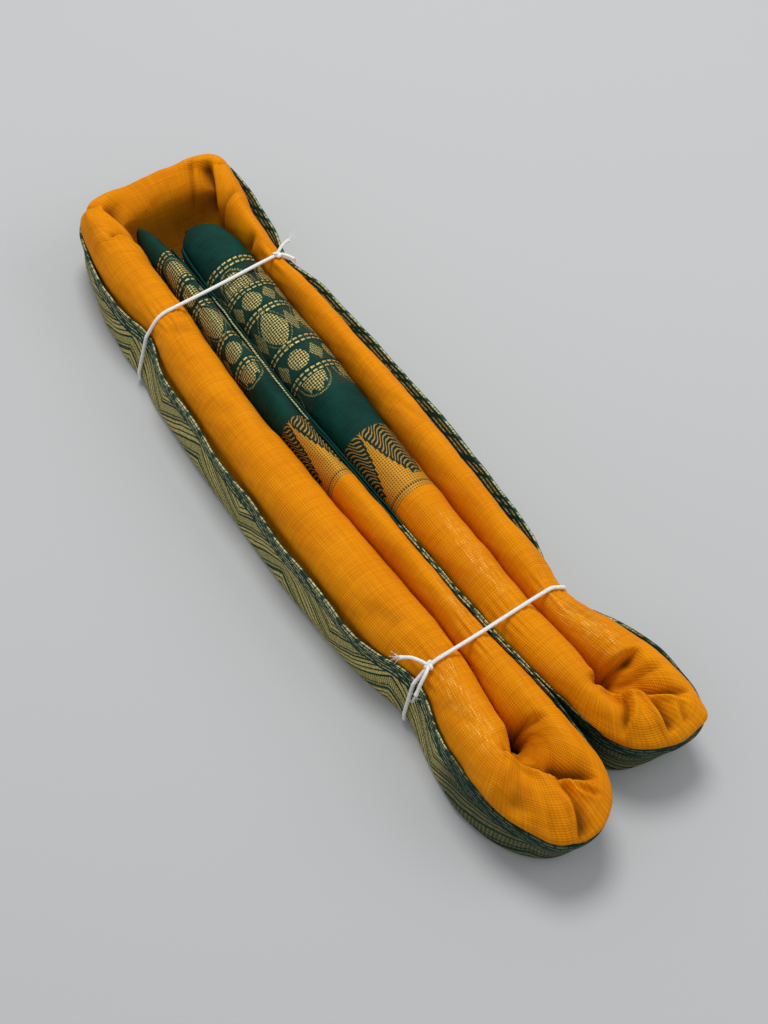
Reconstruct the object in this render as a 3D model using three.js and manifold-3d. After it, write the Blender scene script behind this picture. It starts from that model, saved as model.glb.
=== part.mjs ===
// A cotton saree folded for the shelf. The 1.15 m wide cloth is folded to a narrow band, the band is laid
// out as four parallel runs that turn at a wide far bend and at two tight near bends, and two ties of white
// twine hold it. The mustard field shows as four soft rolls, the woven end pieces show on the two inner runs,
// and the green border stands as a wall round the outside of every run and turns under it as a thin sole.
//
// Millimetres, +Z up. X runs across the bundle, +Y towards the far bend. The origin is on the floor, under the
// middle of the bundle. Every solid is lofted through closed sections that stand upright on the floor plan.
import * as THREE from "three";
import { mergeVertices } from "three/addons/utils/BufferGeometryUtils.js";
import Module from "manifold-3d";

// Driving sizes
const FIELD_TOP = 43; // height of the rolls
const SHOULDER = 27; // height where a roll's rounded top starts
const WALL = 1.8; // several layers of border cloth, on the outside
const MIDDLE_WALL = 1; // one layer less tightly packed, between the two inner runs
const RIM_SLOPE = 0.3; // the wall's inner edge stands this much above its outer edge
const SOLE = 1.4; // border cloth turned under the rolls
const GAP = 0.4; // clearance between neighbouring pieces
const SEAM = 0.3; // clearance where one stretch follows the next
const CORNER = 3; // rounding at a roll's lower edges
const ARC_STEPS = 10; // faces across a roll's rounded top
const BELLY = 15; // height of the level between floor and shoulder
const RUN_STEP = 18; // spacing of the sections along a run
const TWINE_RADIUS = 0.9;

// Where the stretches meet
const FAR_SEAM = 150;
const NEAR_SEAM = -160;
const PALLU_SEAM = { left: 27, right: 2 }; // the end pieces reach from here to the far tips
const FAR_PIVOT = { x: 12, y: FAR_SEAM };
const LEFT_PIVOT = { x: -22, y: NEAR_SEAM };
const RIGHT_PIVOT = { x: 25, y: NEAR_SEAM };

// The ties pull the sides in, press the tops down and lift the underside over the twine.
const TIES = [
  { y: 117, side: 5.5, top: 3.5, reach: 14 },
  { y: -116, side: 8.5, top: 4.5, reach: 20 },
];
const LIFT = 2.6;
const LIFT_REACH = 4.5;

// Outer faces of the border walls at the floor and at the rim, before the ties pull them in
const LEFT_WALL = [
  { y: 150, floor: -44.0, rim: -42.0 },
  { y: 117, floor: -48.5, rim: -44.0 },
  { y: 80, floor: -50.5, rim: -46.5 },
  { y: 40, floor: -53.0, rim: -49.0 },
  { y: 0, floor: -54.0, rim: -50.2 },
  { y: -40, floor: -54.2, rim: -51.0 },
  { y: -80, floor: -53.0, rim: -51.0 },
  { y: -116, floor: -51.0, rim: -50.5 },
  { y: -160, floor: -54.0, rim: -51.0 },
];
const RIGHT_WALL = [
  { y: 150, floor: 53.5, rim: 52.5 },
  { y: 117, floor: 51.5, rim: 50.0 },
  { y: 80, floor: 52.0, rim: 50.5 },
  { y: 40, floor: 52.8, rim: 51.3 },
  { y: 0, floor: 52.5, rim: 51.0 },
  { y: -40, floor: 51.2, rim: 49.8 },
  { y: -80, floor: 48.8, rim: 47.2 },
  { y: -100, floor: 48.4, rim: 46.9 },
  { y: -114, floor: 48.2, rim: 46.9 },
  { y: -130, floor: 49.4, rim: 48.6 },
  { y: -160, floor: 54.5, rim: 54.5 },
];

// How far the left wall's rim stands off its roll, in slow waves along the run
const LEFT_STAND = [
  { y: 150, off: 0 },
  { y: 110, off: 0 },
  { y: 85, off: 1.0 },
  { y: 60, off: 0.2 },
  { y: 30, off: 1.6 },
  { y: 5, off: 0.4 },
  { y: -20, off: 1.8 },
  { y: -50, off: 0.3 },
  { y: -75, off: 1.0 },
  { y: -100, off: 0 },
  { y: -160, off: 0 },
];

// Lines between the rolls: the two valleys, and the pair of border rims that stands in the middle
const VALLEYS = [
  { y: 184, left: -12.6, middle: 1.1, right: 30.0 },
  { y: 150, left: -13.4, middle: 0.6, right: 32.6 },
  { y: 117, left: -14.5, middle: 0.4, right: 32.0 },
  { y: 80, left: -17.8, middle: -1.0, right: 30.5 },
  { y: 40, left: -19.0, middle: -2.4, right: 29.3 },
  { y: 0, left: -18.6, middle: -1.7, right: 26.8 },
  { y: -40, left: -17.8, middle: -1.4, right: 25.0 },
  { y: -80, left: -17.0, middle: -1.2, right: 24.2 },
  { y: -116, left: -16.5, middle: -0.2, right: 23.8 },
  { y: -140, left: -20.4, middle: 1.4, right: 24.6 },
  { y: -160, left: -22.0, middle: 3.0, right: 25.0 },
];

// How the two end pieces narrow and sink to their folded tips. Shares of the full width are cut from each side.
const LEFT_TIP = [
  { y: 140, cutInner: 0, cutOuter: 0, top: 0 },
  { y: 158, cutInner: 0.02, cutOuter: 0.04, top: 3 },
  { y: 170, cutInner: 0.12, cutOuter: 0.1, top: 6 },
  { y: 177, cutInner: 0.28, cutOuter: 0.2, top: 9 },
  { y: 181, cutInner: 0.42, cutOuter: 0.32, top: 12.5 },
];
const RIGHT_TIP = [
  { y: 128, cutInner: 0, cutOuter: 0, top: 0 },
  { y: 148, cutInner: 0.02, cutOuter: 0.05, top: 2 },
  { y: 159, cutInner: 0.09, cutOuter: 0.13, top: 5 },
  { y: 164, cutInner: 0.2, cutOuter: 0.25, top: 9 },
  { y: 167, cutInner: 0.36, cutOuter: 0.38, top: 14 },
];
const MIDDLE_WALL_END = 156;

// Bends, by angle about their pivots, 0 degrees along +X and turning left. inner is where the roll starts and
// rim and floor are the outer face of the border wall, all measured from the pivot.
const FAR_BEND = [
  { angle: 180, inner: 25.7, rim: 54.0, floor: 56.0, skew: 0, drop: 0 },
  { angle: 165, inner: 25.9, rim: 54.8, floor: 56.0, skew: 0, drop: 0 },
  { angle: 150, inner: 28.0, rim: 57.6, floor: 58.0, skew: 0.05, drop: 0.5 },
  { angle: 137, inner: 32.5, rim: 63.0, floor: 63.0, skew: 0.16, drop: 1.0 },
  { angle: 126, inner: 38.0, rim: 67.5, floor: 66.0, skew: 0.26, drop: 1.5 },
  { angle: 117, inner: 40.0, rim: 64.5, floor: 62.5, skew: 0.32, drop: 2.0 },
  { angle: 104, inner: 39.0, rim: 58.0, floor: 56.5, skew: 0.34, drop: 2.2 },
  { angle: 90, inner: 38.0, rim: 55.4, floor: 54.5, skew: 0.34, drop: 2.0 },
  { angle: 76, inner: 38.0, rim: 56.0, floor: 55.5, skew: 0.32, drop: 1.5 },
  { angle: 63, inner: 38.0, rim: 60.5, floor: 60.0, skew: 0.26, drop: 0.8 },
  { angle: 49, inner: 34.5, rim: 64.6, floor: 64.6, skew: 0.16, drop: 0.2 },
  { angle: 38, inner: 28.6, rim: 56.4, floor: 57.4, skew: 0.06, drop: 0 },
  { angle: 25, inner: 24.0, rim: 48.4, floor: 49.4, skew: 0, drop: 0 },
  { angle: 12, inner: 21.5, rim: 42.8, floor: 43.8, skew: 0, drop: 0 },
  { angle: 0, inner: 20.8, rim: 40.5, floor: 41.5, skew: 0, drop: 0 },
];
const LEFT_BEND = [
  { angle: 180, inner: 0.4, rim: 29.0, floor: 32.0, skew: 0, drop: 0 },
  { angle: 200, inner: 0.7, rim: 30.8, floor: 33.5, skew: 0, drop: 0 },
  { angle: 220, inner: 1.4, rim: 35.8, floor: 37.5, skew: 0.02, drop: 0 },
  { angle: 241, inner: 2.6, rim: 44.4, floor: 43.5, skew: 0.05, drop: 0.5 },
  { angle: 256, inner: 3.6, rim: 53.4, floor: 47.5, skew: 0.08, drop: 1.5 },
  { angle: 270, inner: 4.2, rim: 55.2, floor: 48.5, skew: 0.1, drop: 2.0 },
  { angle: 285, inner: 3.8, rim: 51.2, floor: 47.0, skew: 0.08, drop: 1.5 },
  { angle: 300, inner: 2.8, rim: 42.6, floor: 41.4, skew: 0.04, drop: 1.0 },
  { angle: 320, inner: 1.6, rim: 31.8, floor: 31.0, skew: 0, drop: 0.5 },
  { angle: 340, inner: 0.8, rim: 26.2, floor: 26.0, skew: 0, drop: 0 },
  { angle: 360, inner: 0.4, rim: 24.6, floor: 24.6, skew: 0, drop: 0 },
];
const RIGHT_BEND = [
  { angle: 180, inner: 0.4, rim: 21.8, floor: 21.8, skew: 0, drop: 0 },
  { angle: 200, inner: 0.8, rim: 22.2, floor: 22.4, skew: 0, drop: 0 },
  { angle: 220, inner: 1.6, rim: 24.4, floor: 25.0, skew: 0, drop: 0.5 },
  { angle: 242, inner: 2.8, rim: 30.4, floor: 30.4, skew: 0.04, drop: 1.2 },
  { angle: 256, inner: 3.6, rim: 35.6, floor: 32.5, skew: 0.08, drop: 1.6 },
  { angle: 270, inner: 4.2, rim: 40.2, floor: 34.0, skew: 0.1, drop: 2.0 },
  { angle: 286, inner: 4.0, rim: 45.6, floor: 36.8, skew: 0.1, drop: 2.0 },
  { angle: 301, inner: 3.2, rim: 48.0, floor: 42.0, skew: 0.08, drop: 1.5 },
  { angle: 314, inner: 2.4, rim: 42.8, floor: 40.5, skew: 0.04, drop: 1.0 },
  { angle: 330, inner: 1.4, rim: 35.6, floor: 35.4, skew: 0, drop: 0.4 },
  { angle: 345, inner: 0.8, rim: 31.8, floor: 31.8, skew: 0, drop: 0 },
  { angle: 360, inner: 0.4, rim: 29.5, floor: 29.5, skew: 0, drop: 0 },
];

// The main folds in the bends' tops, as lines on the plan from one point to another. The cloth is pressed in by
// depth along the line and less beside it, and the fold fades out towards its second point.
const FOLDS = [
  { x0: -23.5, y0: -158.0, x1: -31.0, y1: -171.5, depth: 5.0, reach: 4.0 },
  { x0: -31.0, y0: -171.0, x1: -6.0, y1: -199.0, depth: 5.5, reach: 4.5 },
  { x0: -21.5, y0: -185.0, x1: -31.0, y1: -215.0, depth: 3.5, reach: 3.5 },
  { x0: 23.0, y0: -164.2, x1: 44.0, y1: -166.7, depth: 6.0, reach: 4.0 },
  { x0: 22.0, y0: -166.5, x1: 49.5, y1: -194.0, depth: 4.5, reach: 3.5 },
  { x0: 24.5, y0: -171.5, x1: 12.5, y1: -189.5, depth: 3.5, reach: 3.0 },
  { x0: 32.6, y0: -177.0, x1: 30.5, y1: -200.0, depth: 3.0, reach: 3.0 },
  { x0: -4.0, y0: 182.0, x1: -18.5, y1: 206.0, depth: 6.0, reach: 5.0 },
  { x0: 32.0, y0: 170.0, x1: 46.0, y1: 196.0, depth: 6.5, reach: 4.5 },
  { x0: 27.5, y0: 182.0, x1: 39.0, y1: 202.5, depth: 3.5, reach: 3.5 },
];
const FOLD_FLOOR = 30; // folds press the cloth in above this height only

// Heights of the border's rim
const LEFT_RIM = 30;
const FAR_RIM = 34;
const RIGHT_RIM = 33;
const MIDDLE_RIM = 33.5;

// Each knot sits on its tie at this x. Its two free ends are given from the knot's middle.
const FAR_KNOT = {
  x: 38.3,
  tails: [
    [{ x: 3.0, y: 1.6, z: 1.6 }, { x: 5.8, y: 2.2, z: 2.4 }, { x: 8.4, y: 2.2, z: 2.8 }],
    [{ x: 2.6, y: -2.6, z: 0.2 }, { x: 4.2, y: -4.8, z: -0.2 }, { x: 5.4, y: -7.0, z: -0.6 }],
  ],
};
const NEAR_KNOT = {
  x: -34.5,
  tails: [
    [{ x: -2.2, y: 3.6, z: 1.2 }, { x: -4.6, y: 7.4, z: 1.0 }, { x: -8.0, y: 10.6, z: -0.6 }],
    [{ x: -3.4, y: -2.4, z: -0.4 }, { x: -6.8, y: -3.8, z: -3.0 }, { x: -10.6, y: -5.2, z: -8.4 }],
  ],
};
const KNOT_SEAT = 0.8; // how far the knot's middle stands off the twine's
const KNOT_RADIUS = 1.9;
const TAIL_STEPS = 7;
const TAIL_END_RADIUS = 1.15;
const TWINE_SIDES = 8;
const TWINE_CLEAR = 1.3; // from the bundle to the middle of the twine
const TWINE_STEP = 9; // longest straight piece of twine

const COLOURS = { field: 0xe08a10, pallu: 0x123f36, border: 0x3f5a3f, twine: 0xf2f1ec };

// Value of a column at a place in a table, on a smooth curve through its rows that never overshoots them
function read(table, key, column, at) {
  const rows = [...table].sort((a, b) => a[key] - b[key]);
  const last = rows.length - 1;
  const place = Math.min(Math.max(at, rows[0][key]), rows[last][key]);
  const i = Math.min(Math.max(rows.findIndex((row) => row[key] >= place), 1), last) - 1;
  const rise = (k) => (rows[k + 1][column] - rows[k][column]) / (rows[k + 1][key] - rows[k][key]);
  const slope = (k) => {
    if (k === 0) return rise(0);
    if (k === last) return rise(last - 1);
    const before = rise(k - 1);
    const after = rise(k);
    return before * after <= 0 ? 0 : (2 * before * after) / (before + after);
  };
  const span = rows[i + 1][key] - rows[i][key];
  const t = (place - rows[i][key]) / span;
  const keep = 1 - t;
  return (
    rows[i][column] * (1 + 2 * t) * keep * keep +
    slope(i) * span * t * keep * keep +
    rows[i + 1][column] * t * t * (3 - 2 * t) -
    slope(i + 1) * span * t * t * keep
  );
}

const bell = (distance, reach) => Math.exp(-((distance / reach) ** 2));
const pull = (y, amount) => TIES.reduce((sum, tie) => sum + tie[amount] * bell(y - tie.y, tie.reach), 0);
const lift = (y) => Math.min(LIFT, TIES.reduce((sum, tie) => sum + LIFT * bell(y - tie.y, LIFT_REACH), 0));

// One set of places for all the straight runs, so that neighbours keep the same gap all the way
const TIE_HALF_WIDTH = 1.6; // the bundle is flat this far on both sides of the twine
const BESIDE_TIE = [-8, -4.5, -TIE_HALF_WIDTH, TIE_HALF_WIDTH, 4.5, 8];
const RUN_PLACES = (() => {
  const fixed = [NEAR_SEAM, PALLU_SEAM.left, PALLU_SEAM.right, FAR_SEAM];
  for (const tie of TIES) for (const beside of BESIDE_TIE) fixed.push(tie.y + beside);
  const even = [];
  for (let y = NEAR_SEAM + RUN_STEP; y < FAR_SEAM; y += RUN_STEP) even.push(y);
  const free = even.filter((y) => fixed.every((place) => Math.abs(place - y) > RUN_STEP / 4));
  return [...fixed, ...free].sort((a, b) => a - b);
})();
const placesAlong = (from, to) => [from, ...RUN_PLACES.filter((y) => y > from + 1 && y < to - 1), to];

function evenPlaces(from, to, step) {
  const count = Math.round((to - from) / step);
  return Array.from({ length: count + 1 }, (_, i) => from + ((to - from) * i) / count);
}

// Section of a roll in its own upright plane: a runs from the inner side to the border side. out says how much
// further out the border side is at the floor than at the shoulder.
function rollSection({ width, out, top, skew, raised }) {
  const low = SOLE + GAP + raised;
  const round = Math.min(CORNER, width / 4);
  const section = [
    [round, low],
    [width + out - round, low],
    [width + out, low + round],
    [width + out / 2, BELLY + raised],
  ];
  for (let i = 0; i <= ARC_STEPS; i++) {
    const turn = (Math.PI * i) / ARC_STEPS;
    const shift = skew * width * Math.sin(turn) ** 3;
    section.push([width / 2 + (width / 2) * Math.cos(turn) + shift, SHOULDER + (top - SHOULDER) * Math.sin(turn)]);
  }
  section.push([0, low + round]);
  return section;
}

// Section of the border cloth: the wall beside a roll, and the sole turned under it
function borderSection({ width, out, raised, rim, slack = 0, wall = WALL }) {
  const side = width + GAP;
  const mid = BELLY + raised;
  const belly = slack / 2;
  return [
    [0, raised],
    [side + out + wall, raised],
    [side + out / 2 + wall + belly, mid],
    [side + wall + belly, SHOULDER],
    [side + slack + wall, rim],
    [side + slack, rim + RIM_SLOPE],
    [side + belly, SHOULDER],
    [side + out / 2 + belly, mid],
    [side + out, raised + SOLE + GAP + CORNER],
    [side + out, raised + SOLE],
    [0, raised + SOLE],
  ];
}

// A station stands a section upright on the plan, from a point and in a direction.
const stand = (station, section) =>
  section.map(([a, z]) => new THREE.Vector3(station.x + station.dx * a, station.y + station.dy * a, z));

// How far the folds press a point of the cloth down
function foldDepth(point) {
  let depth = 0;
  for (const fold of FOLDS) {
    const [ux, uy] = [fold.x1 - fold.x0, fold.y1 - fold.y0];
    const along = ((point.x - fold.x0) * ux + (point.y - fold.y0) * uy) / (ux * ux + uy * uy);
    const t = Math.min(Math.max(along, 0), 1);
    const distance = Math.hypot(point.x - fold.x0 - t * ux, point.y - fold.y0 - t * uy);
    depth = Math.max(depth, fold.depth * (1 - t ** 3) * bell(distance, fold.reach));
  }
  return depth;
}
const pressed = (point) => {
  const depth = Math.min(foldDepth(point), Math.max(point.z - FOLD_FLOOR, 0));
  return new THREE.Vector3(point.x, point.y, point.z - depth);
};

// A closed solid through rings of points that have the same count. Each face between two rings is split along
// the line that climbs from one ring to the next, so that facing sides of two pieces split alike.
function loft(rings, section) {
  const count = rings[0].length;
  const points = rings.flat();
  const faces = [];
  for (let r = 0; r + 1 < rings.length; r++) {
    for (let i = 0; i < count; i++) {
      const next = (i + 1) % count;
      const [a, b, c, d] = [r * count + i, r * count + next, (r + 1) * count + next, (r + 1) * count + i];
      const rises = section[next][1] - section[i][1] || section[next][0] - section[i][0];
      if (rises > 0) faces.push([a, b, c], [a, c, d]);
      else faces.push([a, b, d], [b, c, d]);
    }
  }
  const flat = section.map(([x, y]) => new THREE.Vector2(x, y));
  const cap = THREE.ShapeUtils.triangulateShape(flat, []);
  const end = (rings.length - 1) * count;
  for (const [a, b, c] of cap) faces.push([c, b, a], [end + a, end + b, end + c]);
  let volume = 0;
  for (const [a, b, c] of faces) volume += points[a].dot(new THREE.Vector3().crossVectors(points[b], points[c]));
  const order = volume < 0 ? faces.map(([a, b, c]) => [c, b, a]) : faces;
  const geometry = new THREE.BufferGeometry().setFromPoints(points);
  geometry.setIndex(order.flat());
  return geometry;
}

// Stations of a straight run. inner and outer give x at a y, and out is the wall's extra reach at the floor.
function runStations(places, shape) {
  return places.map((y) => {
    const inner = shape.inner(y);
    const outer = shape.outer(y);
    const towards = Math.sign(outer - inner);
    return {
      x: inner,
      y,
      dx: towards,
      dy: 0,
      width: Math.abs(outer - inner),
      out: shape.out ? shape.out(y) : 0,
      top: FIELD_TOP - pull(y, "top") - (shape.drop ? shape.drop(y) : 0),
      raised: lift(y),
      skew: 0,
    };
  });
}

// Stations of a bend, turning about its pivot
function bendStations(pivot, table, step) {
  const angles = table.map((row) => row.angle);
  const [low, high] = [Math.min(...angles), Math.max(...angles)];
  const count = Math.round((high - low) / step);
  return Array.from({ length: count + 1 }, (_, i) => {
    const angle = low + ((high - low) * i) / count;
    const value = (column) => read(table, "angle", column, angle);
    const turn = THREE.MathUtils.degToRad(angle);
    const inner = value("inner");
    return {
      x: pivot.x + Math.cos(turn) * inner,
      y: pivot.y + Math.sin(turn) * inner,
      dx: Math.cos(turn),
      dy: Math.sin(turn),
      width: value("rim") - WALL - GAP - inner,
      out: value("floor") - value("rim"),
      top: FIELD_TOP - value("drop"),
      raised: 0,
      skew: value("skew"),
    };
  });
}

const group = new THREE.Group();

function add(name, geometry, colour, roughness) {
  const material = new THREE.MeshStandardMaterial({ color: colour, roughness, metalness: 0 });
  const mesh = new THREE.Mesh(geometry, material);
  mesh.name = name;
  group.add(mesh);
}

function addRoll(name, stations, colour = COLOURS.field) {
  const sections = stations.map(rollSection);
  const rings = stations.map((s, i) => stand(s, sections[i]).map(pressed));
  add(name, loft(rings, sections[0]), colour, 0.75);
}

function addBorder(name, stations, { rim, wall = WALL }) {
  const sections = stations.map((s) => borderSection({ ...s, rim, wall }));
  add(name, loft(stations.map((s, i) => stand(s, sections[i])), sections[0]), COLOURS.border, 0.6);
}

// Moves a bend's stations off the seam, so that it doesn't touch the run
const pastSeam = (stations, sign) => stations.map((s) => ({ ...s, y: s.y + sign * SEAM }));

// The outer runs. The wall's outer face is in the tables, and the roll lies inside it.
const half = GAP / 2;
const valley = (column) => (y) => read(VALLEYS, "y", column, y);
const sidePull = (y) => pull(y, "side");
const leftOuter = {
  inner: (y) => valley("left")(y) - half,
  outer: (y) => read(LEFT_WALL, "y", "rim", y) + WALL + GAP + sidePull(y),
  out: (y) => read(LEFT_WALL, "y", "rim", y) - read(LEFT_WALL, "y", "floor", y) + sidePull(y) * 0.5,
};
const rightOuter = {
  inner: (y) => valley("right")(y) + half,
  outer: (y) => read(RIGHT_WALL, "y", "rim", y) - WALL - GAP - sidePull(y),
  out: (y) => read(RIGHT_WALL, "y", "floor", y) - read(RIGHT_WALL, "y", "rim", y) + sidePull(y) * 0.5,
};
const leftStations = runStations(placesAlong(NEAR_SEAM, FAR_SEAM), leftOuter);
const rightStations = runStations(placesAlong(NEAR_SEAM, FAR_SEAM), rightOuter);
addRoll("field_left_outer", leftStations);
const leftWall = leftStations.map((s) => ({ ...s, slack: read(LEFT_STAND, "y", "off", s.y) }));
addBorder("border_left", leftWall, { rim: LEFT_RIM });
addRoll("field_right_outer", rightStations);
addBorder("border_right", rightStations, { rim: RIGHT_RIM });

// The inner runs: mustard field first, then the woven end piece up to its tip. Their border walls stand back to
// back in the middle.
const rimSpace = MIDDLE_WALL + GAP + half;
const tipCut = (tip, column) => (y) => (y < tip[0].y ? 0 : read(tip, "y", column, y));
function innerRun(side, tip) {
  const towards = side === "left" ? -1 : 1;
  const innerEdge = (y) => valley(side)(y) - towards * half;
  const outerEdge = (y) => valley("middle")(y) + towards * rimSpace;
  const width = (y) => outerEdge(y) - innerEdge(y);
  return {
    inner: (y) => innerEdge(y) + width(y) * tipCut(tip, "cutInner")(y),
    outer: (y) => outerEdge(y) - width(y) * tipCut(tip, "cutOuter")(y),
    drop: tipCut(tip, "top"),
  };
}
const TIP_STEP = 6;
const straight = { cutInner: 0, cutOuter: 0, top: 0 };
const beyond = [MIDDLE_WALL_END + 1, MIDDLE_WALL_END + 2]; // past the middle walls, which have no tip
for (const [side, tip] of [["left", LEFT_TIP], ["right", RIGHT_TIP]]) {
  const shape = innerRun(side, tip);
  const tipStart = tip[0].y;
  const tipEnd = tip[tip.length - 1].y;
  addRoll(`field_${side}_inner`, runStations(placesAlong(NEAR_SEAM, PALLU_SEAM[side] - SEAM), shape));
  const body = placesAlong(PALLU_SEAM[side], tipStart);
  const taper = evenPlaces(tipStart + TIP_STEP, tipEnd, TIP_STEP);
  addRoll(`pallu_${side}`, runStations([...body, ...taper], shape), COLOURS.pallu);
  const plain = innerRun(side, beyond.map((y) => ({ y, ...straight })));
  const stations = runStations(placesAlong(NEAR_SEAM, MIDDLE_WALL_END), plain);
  addBorder(`border_middle_${side}`, stations, { rim: MIDDLE_RIM, wall: MIDDLE_WALL });
}

// The bends
const BEND_STEP = 6;
const farStations = pastSeam(bendStations(FAR_PIVOT, FAR_BEND, BEND_STEP), 1);
addRoll("field_far_bend", farStations);
addBorder("border_far", farStations, { rim: FAR_RIM });
const NEAR_BEND_STEP = 6;
const leftBend = pastSeam(bendStations(LEFT_PIVOT, LEFT_BEND, NEAR_BEND_STEP), -1);
const rightBend = pastSeam(bendStations(RIGHT_PIVOT, RIGHT_BEND, NEAR_BEND_STEP), -1);
addRoll("field_near_left_bend", leftBend);
addBorder("border_near_left", leftBend, { rim: LEFT_RIM });
addRoll("field_near_right_bend", rightBend);
addBorder("border_near_right", rightBend, { rim: LEFT_RIM });

// The ties: a closed loop of twine, a knot and its two free ends, fused to one solid
const wasm = await Module();
wasm.setup();

function toSolid(geometry) {
  const bare = new THREE.BufferGeometry().setAttribute("position", geometry.getAttribute("position"));
  if (geometry.index) bare.setIndex(geometry.index);
  const merged = mergeVertices(bare, 1e-3);
  return new wasm.Manifold(
    new wasm.Mesh({
      numProp: 3,
      vertProperties: new Float32Array(merged.attributes.position.array),
      triVerts: new Uint32Array(merged.index.array),
    }),
  );
}

function toGeometry(solid) {
  const mesh = solid.getMesh();
  const geometry = new THREE.BufferGeometry();
  geometry.setAttribute("position", new THREE.BufferAttribute(mesh.vertProperties, mesh.numProp));
  geometry.setIndex(new THREE.BufferAttribute(mesh.triVerts, 1));
  return geometry;
}

// A tail is a round rod along a curve that swells a little at its cut end
function tail(points) {
  const curve = new THREE.CatmullRomCurve3(points.map((p) => new THREE.Vector3(p.x, p.y, p.z)));
  const frames = curve.computeFrenetFrames(TAIL_STEPS, false);
  const circle = Array.from({ length: TWINE_SIDES }, (_, k) => {
    const turn = (2 * Math.PI * k) / TWINE_SIDES;
    return [Math.cos(turn), Math.sin(turn)];
  });
  const rings = Array.from({ length: TAIL_STEPS + 1 }, (_, i) => {
    const radius = i === TAIL_STEPS ? TAIL_END_RADIUS : TWINE_RADIUS;
    const centre = curve.getPointAt(i / TAIL_STEPS);
    return circle.map(([c, s]) =>
      centre
        .clone()
        .addScaledVector(frames.normals[i], c * radius)
        .addScaledVector(frames.binormals[i], s * radius),
    );
  });
  return loft(rings, circle);
}

// The closed line that a tie takes round the bundle: its convex outline at that place, moved out
const LEAST_TURN = 0.3; // square millimetres between three corners; flatter ones are dropped
function tieRoute(tie) {
  const corners = [];
  for (const beside of [-TIE_HALF_WIDTH, TIE_HALF_WIDTH]) {
    for (const [shape, rim] of [[leftOuter, LEFT_RIM], [rightOuter, RIGHT_RIM]]) {
      const [station] = runStations([tie.y + beside], shape);
      const sections = [rollSection(station), borderSection({ ...station, rim })];
      for (const [a, z] of sections.flat()) corners.push({ x: station.x + station.dx * a, z });
    }
  }
  corners.sort((a, b) => a.x - b.x || a.z - b.z);
  const turn = (a, b, c) => (b.x - a.x) * (c.z - a.z) - (b.z - a.z) * (c.x - a.x);
  const chain = (points) => {
    const kept = [];
    for (const point of points) {
      while (kept.length > 1 && turn(kept[kept.length - 2], kept[kept.length - 1], point) < LEAST_TURN) kept.pop();
      kept.push(point);
    }
    return kept.slice(0, -1);
  };
  const hull = [...chain(corners), ...chain([...corners].reverse())];
  const line = [];
  for (let i = 0; i < hull.length; i++) {
    const next = hull[(i + 1) % hull.length];
    const length = Math.hypot(next.x - hull[i].x, next.z - hull[i].z);
    const pieces = Math.ceil(length / TWINE_STEP);
    for (let k = 0; k < pieces; k++) {
      const t = k / pieces;
      line.push({ x: hull[i].x + (next.x - hull[i].x) * t, z: hull[i].z + (next.z - hull[i].z) * t });
    }
  }
  return line;
}

// Twine round the line: every ring stands across the two pieces of the line that meet there
function twineLoop(line, y) {
  const count = line.length;
  const points = [];
  const faces = [];
  for (let i = 0; i < count; i++) {
    const [before, here, after] = [line[(i + count - 1) % count], line[i], line[(i + 1) % count]];
    const into = new THREE.Vector2(here.x - before.x, here.z - before.z).normalize();
    const out = new THREE.Vector2(after.x - here.x, after.z - here.z).normalize();
    const along = into.clone().add(out).normalize();
    const away = { x: along.y, z: -along.x };
    const stretch = 1 / along.dot(out);
    for (let k = 0; k < TWINE_SIDES; k++) {
      const angle = (2 * Math.PI * (k + 0.5)) / TWINE_SIDES;
      const reach = (TWINE_CLEAR + TWINE_RADIUS * Math.cos(angle)) * stretch;
      const x = here.x + away.x * reach;
      const z = here.z + away.z * reach;
      points.push(new THREE.Vector3(x, y + TWINE_RADIUS * Math.sin(angle), z));
      const [next, ring, other] = [(k + 1) % TWINE_SIDES, i * TWINE_SIDES, ((i + 1) % count) * TWINE_SIDES];
      faces.push([ring + k, ring + next, other + next], [ring + k, other + next, other + k]);
    }
  }
  const geometry = new THREE.BufferGeometry().setFromPoints(points);
  geometry.setIndex(faces.flat());
  return geometry;
}

function addTie(name, tie, knot) {
  const line = tieRoute(tie);
  const onTop = line.filter((point) => point.z > SHOULDER);
  const seat = onTop.reduce((best, point) => (Math.abs(point.x - knot.x) < Math.abs(best.x - knot.x) ? point : best));
  const at = line.indexOf(seat);
  const [before, after] = [line[(at + line.length - 1) % line.length], line[(at + 1) % line.length]];
  const along = new THREE.Vector2(after.x - before.x, after.z - before.z).normalize();
  const off = TWINE_CLEAR + KNOT_SEAT;
  const middle = { x: seat.x + along.y * off, y: tie.y, z: seat.z - along.x * off };
  const ball = new THREE.IcosahedronGeometry(KNOT_RADIUS, 1);
  ball.translate(middle.x, middle.y, middle.z);
  const tails = knot.tails.map((points) =>
    tail([middle, ...points.map((p) => ({ x: middle.x + p.x, y: middle.y + p.y, z: middle.z + p.z }))]),
  );
  const loop = toSolid(twineLoop(line, tie.y));
  const joined = [ball, ...tails].map(toSolid).reduce((sum, solid) => sum.add(solid), loop);
  add(name, toGeometry(joined), COLOURS.twine, 0.9);
}
addTie("tie_far", TIES[0], FAR_KNOT);
addTie("tie_near", TIES[1], NEAR_KNOT);

// The origin goes under the middle of the whole bundle.
const box = new THREE.Box3().setFromObject(group);
const middle = box.getCenter(new THREE.Vector3());
for (const mesh of group.children) mesh.geometry.translate(-middle.x, -middle.y, -box.min.z);

export default group;
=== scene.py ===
"""Dresses the folded cotton saree: one band of mustard cloth with its woven end pieces, the green and gold
border round it, and two ties of white twine. Lengths are millimetres, and make() turns them to metres.

The band runs from the left tip down the left inner run, round the near left bend, up the left outer run,
round the far bend, down the right outer run, round the near right bend and up the right inner run. It is
described by stations: places along the band with a width, heights and a direction across."""
import math

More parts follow.
